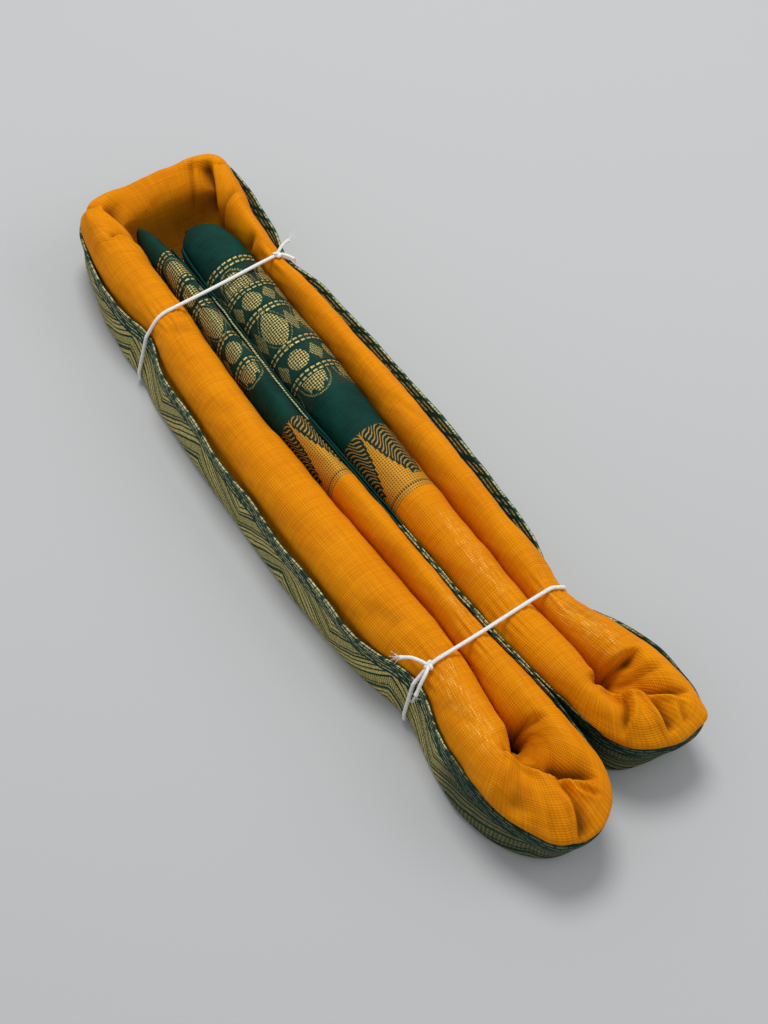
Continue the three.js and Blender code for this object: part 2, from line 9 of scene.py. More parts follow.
import bpy
import numpy as np
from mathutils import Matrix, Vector


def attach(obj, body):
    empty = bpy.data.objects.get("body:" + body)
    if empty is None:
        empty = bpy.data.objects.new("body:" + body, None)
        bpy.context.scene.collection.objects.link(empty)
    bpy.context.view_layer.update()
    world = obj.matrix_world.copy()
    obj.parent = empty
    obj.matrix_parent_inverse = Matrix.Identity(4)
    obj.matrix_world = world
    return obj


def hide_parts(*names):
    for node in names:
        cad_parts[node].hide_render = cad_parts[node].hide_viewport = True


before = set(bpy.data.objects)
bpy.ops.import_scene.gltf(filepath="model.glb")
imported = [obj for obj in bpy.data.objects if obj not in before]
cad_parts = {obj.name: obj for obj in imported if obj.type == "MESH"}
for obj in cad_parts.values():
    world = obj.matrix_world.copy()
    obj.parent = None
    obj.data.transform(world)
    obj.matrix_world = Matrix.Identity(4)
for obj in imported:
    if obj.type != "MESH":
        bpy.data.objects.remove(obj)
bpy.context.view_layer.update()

MM = 0.001
ORIGIN = (-1.584, 3.798)  # from the middle of the plan's tables to the part's own origin

# ---------------------------------------------------------------- the form, as the solids have it
FIELD_TOP = 43.0  # height of the rolls
SHOULDER = 27.0  # a roll's sides are straight up to here, and its top is an arch
WALL, MIDDLE_WALL, SOLE = 1.8, 1.0, 1.4  # the border's thickness outside, in the middle and below
GAP = 0.4  # between neighbours
FAR_SEAM, NEAR_SEAM = 150.0, -160.0  # y where the runs meet the bends
BORDER_END = 156.0  # y where the border ends on the inner runs
PALLU_SEAM = {"left": 27.0, "right": 2.0}  # y where green meets the spires
TEMPLE_END = {"left": -15.0, "right": -41.0}  # y where the spires meet the mustard
ROW_START = {"left": 149.0, "right": 126.4}  # y of the first woven row on each end piece
FAR_PIVOT, LEFT_PIVOT, RIGHT_PIVOT = (12.0, FAR_SEAM), (-22.0, NEAR_SEAM), (25.0, NEAR_SEAM)
TIES = [dict(y=117.0, side=5.5, top=3.5, reach=14.0), dict(y=-116.0, side=8.5, top=4.5, reach=20.0)]
LIFT, LIFT_REACH = 2.6, 4.5  # the sole is lifted this much over a tie
TWINE_RADIUS = 0.95
TWINE_GAP = 0.12  # between the twine and the bundle


def rows(names, *values):
    """A table with named columns."""
    return {name: np.array(column, float) for name, column in zip(names.split(), zip(*values))}


LEFT_WALL = rows(
    "y floor rim",
    (-160, -54, -51), (-116, -51, -50.5), (-80, -53, -51), (-40, -54.2, -51), (0, -54, -50.2),
    (40, -53, -49), (80, -50.5, -46.5), (117, -48.5, -44), (150, -44, -42),
)
RIGHT_WALL = rows(
    "y floor rim",
    (-160, 54.5, 54.5), (-130, 49.4, 48.6), (-114, 48.2, 46.9), (-100, 48.4, 46.9), (-80, 48.8, 47.2),
    (-40, 51.2, 49.8), (0, 52.5, 51), (40, 52.8, 51.3), (80, 52, 50.5), (117, 51.5, 50), (150, 53.5, 52.5),
)
LEFT_STAND = rows(  # how far the left wall's rim waves out
    "y off",
    (-160, 0), (-100, 0), (-75, 1), (-50, 0.3), (-20, 1.8), (5, 0.4), (30, 1.6), (60, 0.2), (85, 1),
    (110, 0), (150, 0),
)
VALLEYS = rows(
    "y left middle right",
    (-160, -22, 3, 25), (-140, -20.4, 1.4, 24.6), (-116, -16.5, -0.2, 23.8), (-80, -17, -1.2, 24.2),
    (-40, -17.8, -1.4, 25), (0, -18.6, -1.7, 26.8), (40, -19, -2.4, 29.3), (80, -17.8, -1, 30.5),
    (117, -14.5, 0.4, 32), (150, -13.4, 0.6, 32.6), (184, -12.6, 1.1, 30),
)
LEFT_TIP = rows(  # shares of the width cut off on both sides of a tip, and how much lower it is
    "y inner outer top",
    (140, 0, 0, 0), (158, 0.02, 0.04, 3), (170, 0.12, 0.1, 6), (177, 0.28, 0.2, 9), (181, 0.42, 0.32, 12.5),
)
RIGHT_TIP = rows(
    "y inner outer top",
    (128, 0, 0, 0), (148, 0.02, 0.05, 2), (159, 0.09, 0.13, 5), (164, 0.2, 0.25, 9), (167, 0.36, 0.38, 14),
)
FAR_BEND = rows(
    "angle inner rim floor skew drop",
    (0, 20.8, 40.5, 41.5, 0, 0), (12, 21.5, 42.8, 43.8, 0, 0), (25, 24, 48.4, 49.4, 0, 0),
    (38, 28.6, 56.4, 57.4, 0.06, 0), (49, 34.5, 64.6, 64.6, 0.16, 0.2), (63, 38, 60.5, 60, 0.26, 0.8),
    (76, 38, 56, 55.5, 0.32, 1.5), (90, 38, 55.4, 54.5, 0.34, 2),
    (104, 39, 58, 56.5, 0.34, 2.2), (117, 40, 64.5, 62.5, 0.32, 2),
    (126, 38, 67.5, 66, 0.26, 1.5), (137, 32.5, 63, 63, 0.16, 1),
    (150, 28, 57.6, 58, 0.05, 0.5), (165, 25.9, 54.8, 56, 0, 0), (180, 25.7, 54, 56, 0, 0),
)
LEFT_BEND = rows(
    "angle inner rim floor skew drop",
    (180, 0.4, 29, 32, 0, 0), (200, 0.7, 30.8, 33.5, 0, 0), (220, 1.4, 35.8, 37.5, 0.02, 0),
    (241, 2.6, 44.4, 43.5, 0.05, 0.5), (256, 3.6, 53.4, 47.5, 0.08, 1.5), (270, 4.2, 55.2, 48.5, 0.1, 2),
    (285, 3.8, 51.2, 47, 0.08, 1.5), (300, 2.8, 42.6, 41.4, 0.04, 1), (320, 1.6, 31.8, 31, 0, 0.5),
    (340, 0.8, 26.2, 26, 0, 0), (360, 0.4, 24.6, 24.6, 0, 0),
)
RIGHT_BEND = rows(
    "angle inner rim floor skew drop",
    (180, 0.4, 21.8, 21.8, 0, 0), (200, 0.8, 22.2, 22.4, 0, 0), (220, 1.6, 24.4, 25, 0, 0.5),
    (242, 2.8, 30.4, 30.4, 0.04, 1.2), (256, 3.6, 35.6, 32.5, 0.08, 1.6), (270, 4.2, 40.2, 34, 0.1, 2),
    (286, 4, 45.6, 36.8, 0.1, 2), (301, 3.2, 48, 42, 0.08, 1.5), (314, 2.4, 42.8, 40.5, 0.04, 1),
    (330, 1.4, 35.6, 35.4, 0, 0.4), (345, 0.8, 31.8, 31.8, 0, 0), (360, 0.4, 29.5, 29.5, 0, 0),
)
RIM = dict(left=30.0, right=33.0, middle=33.5)  # the border's height

# Creases on the rolls' tops, in plan: from, over and to. close and wide are their widths on the steep and on
# the gentle side, puff is how much the cloth swells beside the steep side, and lip says which side that is, 1
# for right, -1 for left and 0 for both. start is the share of the depth at the first point. Where the depth is
# negative it is a ridge.
CREASES = rows(
    "x0 y0 x1 y1 x2 y2 close wide depth puff lip start",
    # the near left bend: the pit, the dark trough beside it, and what runs out of them
    (-22.4, -152, -24.6, -161.5, -31.5, -172.5, 0.9, 6.5, 9.5, 0.6, 1, 0.3),
    (-31.5, -170.5, -20.6, -186.4, -5, -199.6, 1, 6.5, 8.6, 2.2, 1, 1),
    (-18.4, -188.6, -13.8, -195.6, -7, -202.5, 0.8, 1.8, 3, 1, 1, 0.3),
    (-17.4, -190.6, -15.5, -199.7, -10.2, -205, 0.8, 1.8, 2.8, 1, 1, 0.3),
    (-28, -175, -24.2, -187, -26.3, -199, 1.2, 3.2, 4, 1, 1, 0.4),
    (-21.4, -184, -23.4, -202.5, -32, -216.5, 1, 4.4, 5.6, 2.2, 1, 0.8),
    (-23.4, -187.2, -23.5, -194, -27.5, -203, 0.8, 1.6, 1.6, 0.5, 1, 0.3),
    (-31.5, -171.5, -40.5, -176.2, -51.5, -180, 2.6, 2.6, -2.6, 0, 0, 0.9),
    (-31.5, -176, -37.5, -184.5, -48, -190, 3, 6, 4, 0, 1, 0.8),
    (-24, -160, -17, -161, -8, -166, 1.4, 4.5, 4.6, 0.6, -1, 1),
    (-33.5, -196, -36.5, -202.5, -38.5, -208, 1.8, 1.8, 0.9, 0.2, 0, 0.2),
    # the near right bend
    (24.6, -151, 24, -158.5, 23.6, -167, 0.9, 3.6, 7.5, 0.6, 1, 0.3),
    (23.6, -160.5, 31.5, -161.2, 44.5, -163.6, 1.1, 5.5, 9.5, 1.6, -1, 1),
    (26, -167, 35.5, -170.8, 48.5, -175.8, 1.6, 3.4, 3, 0.8, -1, 0.6),
    (21.5, -165.6, 33.6, -178, 49.5, -194.5, 1, 4, 6.8, 2.2, 1, 1),
    (32.6, -177, 32.6, -190, 30.4, -200.6, 1, 3.6, 5, 1.8, 1, 0.6),
    (24.8, -171, 22.6, -180.5, 12.4, -189.4, 1.2, 3.4, 5.4, 2.2, -1, 0.7),
    (18, -169.2, 21.8, -171.4, 23.4, -178.5, 1, 2.2, 2.6, 1, -1, 0.4),
    (42.7, -189, 40.5, -194.6, 39.3, -201, 1, 2, 2.4, 0.8, 1, 0.2),
    (37, -180.5, 44, -186, 52, -189.5, 0.9, 1.8, 2.6, 0.9, 1, 0.2),
    # the far bend's corners
    (-17.6, 199.5, -13.6, 188.5, -9, 176, 1.2, 6, 7.5, 0.8, 1, 0),
    (-28.5, 201.3, -22.5, 199.3, -16.5, 197.2, 1, 1.6, 1.8, 0.5, 1, 0.1),
    (-34, 172, -24.5, 178.5, -16, 171.5, 3, 3, -2.6, 0, 0, 0.1),
    (-26.5, 173, -20, 173.8, -13, 167.5, 1, 4, 4.4, 1.6, 1, 0.1),
    (44, 193, 39, 183.4, 27.5, 161, 1.2, 5.2, 8.5, 0.6, -1, 0),
    (37.4, 199.5, 33.2, 192, 24.5, 176, 0.9, 2.6, 2.6, 0.5, -1, 0),
    (42.5, 187.6, 46.1, 186.6, 51, 184.4, 0.9, 1.4, 1.6, 0.5, 0, 0.3),
    (30.5, 163.2, 38.8, 165.1, 50, 165.7, 1.6, 3.4, 2.4, 0.6, 1, 0.4),
    (25.5, 127, 29.5, 134.6, 38.5, 134, 1.4, 2.4, 2.8, 1.4, 1, 0.6),
    # the runs
    (-34, 106, -27, 104, -19, 100, 3.5, 3.5, 1.1, 0.1, 0, 0.1),
    (-42, 60, -36, 52, -32, 40, 3.4, 3.4, 0.7, 0.1, 0, 0.1),
    (30, 20, 36, 2, 41, -16, 2.2, 2.2, 0.8, 0.2, 0, 0.1),
    (-45, -70, -38, -84, -34, -98, 3.2, 3.2, 1.2, 0.1, 0, 0.1),
    (28, -124, 34, -132, 38, -146, 2.6, 2.6, 1, 0.1, 0, 0.1),
    (-41, -128, -38, -140, -37, -156, 3, 3, 0.8, 0.1, 0, 0.1),
)
OVERHANG = 2.7  # how far the bends' rolls bulge over the border's rim
OVERHANG_HEIGHT, OVERHANG_SPREAD = 31.0, 4.0
TUCK = 4.0  # how much lower the rim stands under a bulge of OVERHANG
WAIST_BULGE, WAIST_Y, WAIST_REACH = 3.2, -112.0, 24.0  # the right outer roll bulges too, at the near tie
CORNER_POINT, CORNER_ANGLE, CORNER_REACH = 2.0, 303.0, 5.0  # a small corner of cloth on the near right bend
SLACK = dict(left=1.2, right=3.7)  # how far the border's rim stands off the outer rolls
SLACK_SHARE = rows(  # and how much of that there is along a run: none at the ties
    "y share",
    (-160, 0), (-102, 0), (-76, 1), (96, 1), (112, 0), (124, 0), (140, 1), (150, 1),
)
FAR_FLARE = 14.0  # the far bend's cloth spreads into the hollow at the floor


def read(table, key, column, at):
    """A column of a table at places between its rows, on a smooth curve that never overshoots them."""
    x, y = table[key], table[column]
    at = np.clip(np.asarray(at, float), x[0], x[-1])
    h, rise = np.diff(x), np.diff(y) / np.diff(x)
    slope = np.empty_like(y)
    slope[0], slope[-1] = rise[0], rise[-1]
    a, b = rise[:-1], rise[1:]
    slope[1:-1] = np.where(a * b > 0, 2 * a * b / np.where(a + b == 0, 1, a + b), 0)
    i = np.clip(np.searchsorted(x, at, side="left") - 1, 0, len(x) - 2)
    t = (at - x[i]) / h[i]
    k = 1 - t
    return (y[i] * (1 + 2 * t) * k * k + slope[i] * h[i] * t * k * k
            + y[i + 1] * t * t * (3 - 2 * t) - slope[i + 1] * h[i] * t * t * k)


def bell(distance, reach):
    """1 at no distance, falling to nothing over some reaches."""
    return np.exp(-((distance / reach) ** 2))


def pull(y, amount):
    """How far the ties pull a side or the top in."""
    return sum(tie[amount] * bell(y - tie["y"], tie["reach"]) for tie in TIES)


def lift(y):
    """How far the sole is lifted over the ties."""
    return np.minimum(LIFT, sum(LIFT * bell(y - tie["y"], LIFT_REACH) for tie in TIES))


def smooth_step(x, lo, hi):
    """0 below lo and 1 above hi, smooth between."""
    t = np.clip((x - lo) / (hi - lo), 0, 1)
    return t * t * (3 - 2 * t)


# ---------------------------------------------------------------- stations along the band
FIELDS = "x y dx dy width out top raised skew rim wall stand over flare slack".split()


def run(kind, side, y):
    """Stations of a straight run at the places y, standing on its inner side and looking to its border."""
    half = GAP / 2
    valley = read(VALLEYS, "y", side, y)
    towards = -1.0 if side == "left" else 1.0
    tip_top = np.zeros_like(y)
    if kind == "outer":
        wall = LEFT_WALL if side == "left" else RIGHT_WALL
        rim, floor = read(wall, "y", "rim", y), read(wall, "y", "floor", y)
        side_pull = pull(y, "side")
        inner = valley + towards * half
        outer = rim - towards * (WALL + GAP + side_pull)
        out = towards * (floor - rim) + side_pull * 0.5
        thick, high = WALL, RIM[side]
    else:
        inner = valley - towards * half
        outer = read(VALLEYS, "y", "middle", y) + towards * (MIDDLE_WALL + GAP + half)
        width = outer - inner
        tip = LEFT_TIP if side == "left" else RIGHT_TIP
        cut_in, cut_out = read(tip, "y", "inner", y), read(tip, "y", "outer", y)
        tip_top = read(tip, "y", "top", y)
        inner, outer = inner + width * cut_in, outer - width * cut_out
        out = np.zeros_like(y)
        thick, high = MIDDLE_WALL, RIM["middle"]
    none = np.zeros_like(y)
    return dict(
        x=inner, y=y, dx=np.sign(outer - inner), dy=none, width=np.abs(outer - inner), out=out,
        top=FIELD_TOP - pull(y, "top") - tip_top, raised=lift(y), skew=none, flare=none,
        rim=np.full_like(y, high), wall=np.full_like(y, thick),
        stand=read(LEFT_STAND, "y", "off", y) if (kind, side) == ("outer", "left") else none,
        over=WAIST_BULGE * bell(y - WAIST_Y, WAIST_REACH) if (kind, side) == ("outer", "right") else none,
        slack=SLACK[side] * read(SLACK_SHARE, "y", "share", y) if kind == "outer" else none,
    )


def bend(pivot, table, angle, rims, walls, over, flare=0.0, slack=(0.0, 0.0)):
    """Stations of a bend at the angles given. rims, walls and slack are the values at its two ends."""
    get = lambda column: read(table, "angle", column, angle)
    turn = np.radians(angle)
    inner = get("inner")
    share = smooth_step(angle, angle.min(), angle.max())
    wall = walls[0] + (walls[1] - walls[0]) * share
    return dict(
        x=pivot[0] + np.cos(turn) * inner, y=pivot[1] + np.sin(turn) * inner,
        dx=np.cos(turn), dy=np.sin(turn),
        width=get("rim") - WALL - GAP - inner, out=get("floor") - get("rim"), top=FIELD_TOP - get("drop"),
        raised=np.zeros_like(angle), skew=get("skew"), rim=rims[0] + (rims[1] - rims[0]) * share,
        wall=wall, stand=np.zeros_like(angle), over=over * np.sin(np.pi * share) ** 0.6,
        flare=flare * np.sin(np.pi * share),
        slack=slack[0] * (1 - smooth_step(share, 0, 0.25)) + slack[1] * smooth_step(share, 0.75, 1),
    )


def even(start, end, step):
    """Evenly spaced places, about a step apart."""
    return np.linspace(start, end, max(3, int(round(abs(end - start) / step)) + 1))


STEP, TURN = 2.0, 0.9  # between stations, mm on a run and degrees on a bend
near_angles, far_angles = even(360, 180, TURN)[1:-1], even(180, 0, TURN)[1:-1]
stretches = [
    run("inner", "left", even(LEFT_TIP["y"][-1], NEAR_SEAM, STEP)),
    bend(LEFT_PIVOT, LEFT_BEND, near_angles, (RIM["left"], RIM["middle"]), (WALL, MIDDLE_WALL), OVERHANG),
    run("outer", "left", even(NEAR_SEAM, FAR_SEAM, STEP)),
    bend(FAR_PIVOT, FAR_BEND, far_angles, (RIM["right"], RIM["left"]), (WALL, WALL), OVERHANG, FAR_FLARE,
         (SLACK["right"], SLACK["left"])),
    run("outer", "right", even(FAR_SEAM, NEAR_SEAM, STEP)),
    bend(RIGHT_PIVOT, RIGHT_BEND, near_angles, (RIM["middle"], RIM["right"]), (MIDDLE_WALL, WALL),
         OVERHANG + CORNER_POINT * bell(near_angles - CORNER_ANGLE, CORNER_REACH)),
    run("inner", "right", even(NEAR_SEAM, RIGHT_TIP["y"][-1], STEP)),
]
INNER = {"left": 0, "right": 6}  # places of the runs and of the far bend in the list of stretches
OUTER = {"left": 2, "right": 4}
FAR = 3
band = {name: np.concatenate([part[name] for part in stretches]) for name in FIELDS}
stretch = np.concatenate([np.full(len(part["x"]), i) for i, part in enumerate(stretches)])


def soften(values, reach=3.0):
    """Evens out the corners that the joints of two stretches leave."""
    span = int(reach * 3)
    kernel = bell(np.arange(-span, span + 1), reach)
    before, after = 2 * values[0] - values[span:0:-1], 2 * values[-1] - values[-2:-span - 2:-1]
    padded = np.concatenate([before, values, after])
    return np.convolve(padded, kernel / kernel.sum(), "valid")


band["rim"] = soften(band["rim"] - TUCK * band["over"] / OVERHANG, 8)
for name in FIELDS:
    if name not in ("rim", "raised"):
        band[name] = soften(band[name])
length = np.hypot(band["dx"], band["dy"])
band["dx"], band["dy"] = band["dx"] / length, band["dy"] / length
mid_x = band["x"] + band["dx"] * band["width"] / 2
mid_y = band["y"] + band["dy"] * band["width"] / 2
ALONG = np.concatenate([[0], np.cumsum(np.hypot(np.diff(mid_x), np.diff(mid_y)))])
COUNT = len(ALONG)


def nearest(part, y):
    """Index of the station of a stretch that is nearest to a y."""
    index = np.where(stretch == part)[0]
    return int(index[np.argmin(np.abs(band["y"][index] - y))])


def along_at(part, y):
    """The band's length up to the nearest station."""
    return float(ALONG[nearest(part, y)])


def inner_at(side, y):
    """The band's length up to a y on an inner run."""
    i = nearest(INNER[side], y)
    return float(ALONG[i] + (band["y"][i] - y) * (1 if side == "left" else -1))


def wander(x, seed, scale):
    """A smooth uneven wave between about -1 and 1."""
    phase = np.random.RandomState(seed).rand(5) * 2 * math.pi
    waves = [(1.0, 0.5), (1.7, 0.3), (2.9, 0.22), (4.3, 0.14), (7.1, 0.08)]
    return sum(a * np.sin(2 * math.pi * x * f / scale + p) for (f, a), p in zip(waves, phase))


# ---------------------------------------------------------------- the rolls' surface
INNER_STEPS, ARC_STEPS, OUTER_STEPS = 9, 52, 7
CREST = INNER_STEPS + ARC_STEPS // 2  # column of the points along a roll's crest
UNDERCUT = 0.8  # how far the roll's foot is drawn in
ABOVE_SOLE = 0.2
ARCH_POWER = 0.94  # below 1 the arch over the shoulders is fuller
LUMPS = rows(  # height of the skin's waves, how they run along and round the roll, and their length
    "height along round seed length",
    (0.42, 1.0, 0.35, 3, 88), (0.22, 0.5, -1.0, 8, 31), (0.13, 0.9, 0.2, 5, 17),
)


def placed(b, across, heights):
    """Points of a section at its stations, from the distances across the band and the heights."""
    a, z = np.concatenate(across, 1), np.concatenate(heights, 1)
    return np.stack([b["x"] + b["dx"] * a, b["y"] + b["dy"] * a, z], -1)


def girths(p):
    """How far each point lies round its section."""
    return np.cumsum(np.linalg.norm(np.diff(p, axis=1, prepend=p[:, :1]), axis=-1), axis=1)


def roll_points():
    """Points of the rolls' skin at all stations, from low on the inner side over the top to the border."""
    b = {name: band[name][:, None] for name in FIELDS}
    low = SOLE + ABOVE_SOLE + b["raised"]
    up = np.linspace(0, 1, INNER_STEPS, endpoint=False)[None]
    inner_a = UNDERCUT * (1 - up) ** 3 - b["flare"] * (1 - up) ** 2
    inner_z = low + (SHOULDER - low) * up
    turn = np.pi * (1 - np.linspace(0, 1, ARC_STEPS)[None])
    roll = b["width"] - b["slack"]
    arc_a = roll / 2 * (1 + np.cos(turn)) + b["skew"] * b["width"] * np.sin(turn) ** 3
    arc_z = SHOULDER + (b["top"] - SHOULDER) * np.sin(turn) ** ARCH_POWER
    bulge = b["over"] * bell(arc_z - OVERHANG_HEIGHT, OVERHANG_SPREAD)
    arc_a = arc_a + bulge * smooth_step(np.cos(turn), 0.1, 0.6)
    down = np.linspace(0, 1, OUTER_STEPS + 1)[None, 1:]
    meets = smooth_step(down, 0, 0.3)  # below the gap the roll lies against the border again
    outer_a = roll + b["slack"] * meets + b["out"] * down - UNDERCUT * down ** 3
    outer_z = SHOULDER + (low - SHOULDER) * down
    return placed(b, [inner_a, arc_a, outer_a], [inner_z, arc_z, outer_z])


def normals(p):
    along = np.gradient(p, axis=0)
    across = np.gradient(p, axis=1)
    n = np.cross(along, across)
    return n / np.maximum(np.linalg.norm(n, axis=-1, keepdims=True), 1e-9)


CURVE_STEPS = 14  # straight pieces of a crease
FADE_IN, FADE_OUT = 0.35, 0.7  # shares of a crease where it reaches its depth and where it starts to end
NARROW = 1.7  # creases closer than this have a sharp bottom, and SHARP is that shape's share
SHARP = 0.6
PUFF_AT, PUFF_REACH = 2.4, 1.5  # the puff's place and width, in steep widths


def crease_depth(x, y, part):
    """How far the skin is pressed in, from the creases' distances in plan. part is each point's stretch."""
    total = np.zeros_like(x)
    inner_run = (part == INNER["left"]) | (part == INNER["right"])
    for c in zip(*(CREASES[name] for name in "x0 y0 x1 y1 x2 y2 close wide depth puff lip start".split())):
        x0, y0, x1, y1, x2, y2, close, wide, depth, puff, lip, start = c
        reach = 4 * max(close, wide) + 3
        near = ((x > min(x0, x1, x2) - reach) & (x < max(x0, x1, x2) + reach)
                & (y > min(y0, y1, y2) - reach) & (y < max(y0, y1, y2) + reach))
        if y1 > 0:
            near &= ~inner_run
        if not near.any():
            continue
        px, py = x[near], y[near]
        cx, cy = 2 * x1 - (x0 + x2) / 2, 2 * y1 - (y0 + y2) / 2  # the curve goes through the middle point
        best, where, side = np.full_like(px, 1e9), np.zeros_like(px), np.ones_like(px)
        at = lambda t: [(1 - t) ** 2 * p + 2 * t * (1 - t) * q + t * t * r
                        for p, q, r in ((x0, cx, x2), (y0, cy, y2))]
        for k in range(CURVE_STEPS):
            (ax, ay), (bx, by) = at(k / CURVE_STEPS), at((k + 1) / CURVE_STEPS)
            ux, uy = bx - ax, by - ay
            t = np.clip(((px - ax) * ux + (py - ay) * uy) / (ux * ux + uy * uy), 0, 1)
            d = np.hypot(px - ax - t * ux, py - ay - t * uy)
            closer = d < best
            best = np.where(closer, d, best)
            where = np.where(closer, (k + t) / CURVE_STEPS, where)
            lateral = (ux * (py - ay) - uy * (px - ax)) / math.hypot(ux, uy) / np.maximum(d, 1e-6)
            side = np.where(closer, np.clip(lateral, -1, 1), side)
        fade = (start + (1 - start) * smooth_step(where, 0, FADE_IN)) * (1 - smooth_step(where, FADE_OUT, 1))
        steep = np.ones_like(px) if lip == 0 else smooth_step(-side * lip, -0.8, 0.8)
        width = wide + (close - wide) * steep
        round_ = bell(best, 1.3 * width)
        sharp = np.exp(-np.sqrt((best / width) ** 2 + 0.02) + 0.14)
        groove = sharp * SHARP + round_ * (1 - SHARP) if close < NARROW else round_
        beside = bell(best - PUFF_AT * close, PUFF_REACH * close) * steep
        total[near] += fade * (depth * groove - puff * beside)
    return total


PLEAT_DEPTHS, PLEAT_AT, PLEAT_REACH = (0.45, 0.5), 5, 6.5  # at each tie, and on both sides of it
SHADE_ROUNDS, SHADE_DEPTH = 60, 3.2  # the painted shade of a fold comes from its depth below the evened skin


def tie_pleats(x, y):
    """Small pleats that gather under each tie."""
    wave = np.sin(x * 2.05 + 0.7 + 0.5 * np.sin(x * 0.61)) * 0.6 + np.sin(x * 1.13 + 2.7) * 0.4
    return sum(depth * wave * bell(np.abs(y - tie["y"]) - PLEAT_AT, PLEAT_REACH)
               for tie, depth in zip(TIES, PLEAT_DEPTHS))


def fold_shade(pressed):
    """Painted shade for the creases: how deep each point lies in a fold beside what surrounds it, from 0 to 1.
    """
    wide = pressed.copy()
    for _ in range(SHADE_ROUNDS):
        padded = np.pad(wide, 1, mode="edge")
        wide = (padded[:-2, 1:-1] + padded[2:, 1:-1] + padded[1:-1, :-2] + padded[1:-1, 2:]) / 4
    return np.clip((pressed - wide) / SHADE_DEPTH, 0, 1)


FADE_UPPER = SHOULDER - 3, SHOULDER + 6  # heights between which the creases and lumps of the skin set in
FADE_FAR, FADE_PIT = (10, 24), (4, 24)  # they reach lower in the far bend and in the pits of the near bends
NEAR_REACH = 18  # from this far before the near seam on, creases are pressed straight down
HOLLOW_SHADE, HOLLOW_HEIGHTS = 0.8, (-33, -14)  # painted shade: the far bend's hollow is painted darker downwards


def dressed_rolls():
    """The skin with its lumps, pleats and creases, length and girth at each point, and the painted shade of
    its folds and of the far bend's hollow.
    """
    p = roll_points()
    n = normals(p)
    upper = smooth_step(p[..., 2], *FADE_UPPER)
    s = ALONG[:, None] + 0 * p[..., 0]
    girth = girths(p)
    lumps = sum(height * wander(along * s + round_ * girth, int(seed), length_)
                for height, along, round_, seed, length_ in zip(*LUMPS.values()))
    part = stretch[:, None] + 0 * p[..., 0]
    inner_half = np.arange(p.shape[1]) < CREST
    near_bend = p[..., 1] < NEAR_SEAM + NEAR_REACH
    creased = np.where(part == FAR, smooth_step(p[..., 2], *FADE_FAR), upper)
    creased = np.where(near_bend & inner_half, smooth_step(p[..., 2], *FADE_PIT), creased)
    pressed = crease_depth(p[..., 0], p[..., 1], part) * creased
    pleats = tie_pleats(p[..., 0], p[..., 1]) * upper
    p = p + n * (lumps * upper - pleats - np.where(near_bend, 0, pressed))[..., None]
    p[..., 2] -= np.where(near_bend, pressed, 0)
    # painted shade on the far bend's inner side, darker the lower it lies
    hollow = HOLLOW_SHADE * smooth_step(-p[..., 2], *HOLLOW_HEIGHTS)
    hollow_painted_shade = np.where((part == FAR) & inner_half, hollow, 0)
    return p, s, girth, np.maximum(fold_shade(pressed), hollow_painted_shade)


def grid_faces(lines, columns):
    i, j = np.meshgrid(np.arange(lines - 1), np.arange(columns - 1), indexing="ij")
    a = (i * columns + j).ravel()
    return np.stack([a, a + columns, a + columns + 1, a + 1], 1)


UV_SCALE = 100.0  # mm in one unit of the uv layer


def make(name, points, faces, uv, slot, painted_shade=None):
    """A mesh object that rides on the root, from points in mm in the tables' frame."""
    points = np.array(points, float).reshape(-1, 3)
    points[:, 0] += ORIGIN[0]
    points[:, 1] += ORIGIN[1]
    mesh = bpy.data.meshes.new(name)
    mesh.from_pydata((points * MM).tolist(), [], [list(map(int, f)) for f in faces])
    mesh.update()
    layer = mesh.uv_layers.new(name="cloth")
    index = np.empty(len(mesh.loops), int)
    mesh.loops.foreach_get("vertex_index", index)
    layer.data.foreach_set("uv", (np.array(uv, float).reshape(-1, 2)[index] / UV_SCALE).ravel())
    # the painted shade of the folds, one value for each point, which the material uses to darken the colour
    if painted_shade is not None:
        mesh.attributes.new("painted_shade", "FLOAT", "POINT").data.foreach_set("value", np.array(painted_shade, float).ravel())
    mesh.polygons.foreach_set("use_smooth", [True] * len(mesh.polygons))
    obj = bpy.data.objects.new(name, mesh)
    bpy.context.collection.objects.link(obj)
    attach(obj, "root")
    return obj


# ---------------------------------------------------------------- node helper
def wire(tree, kind, inputs, **settings):
    """A new node with its settings. An input is a number or colour, or a Value or socket to be linked."""
    node = tree.nodes.new("ShaderNode" + kind)
    for key, value in settings.items():
        setattr(node, key, value)
    for key, value in inputs.items():
        if isinstance(value, Value):
            value = value.socket
        if isinstance(value, bpy.types.NodeSocket):
            tree.links.new(value, node.inputs[key])
        else:
            node.inputs[key].default_value = value
    return node


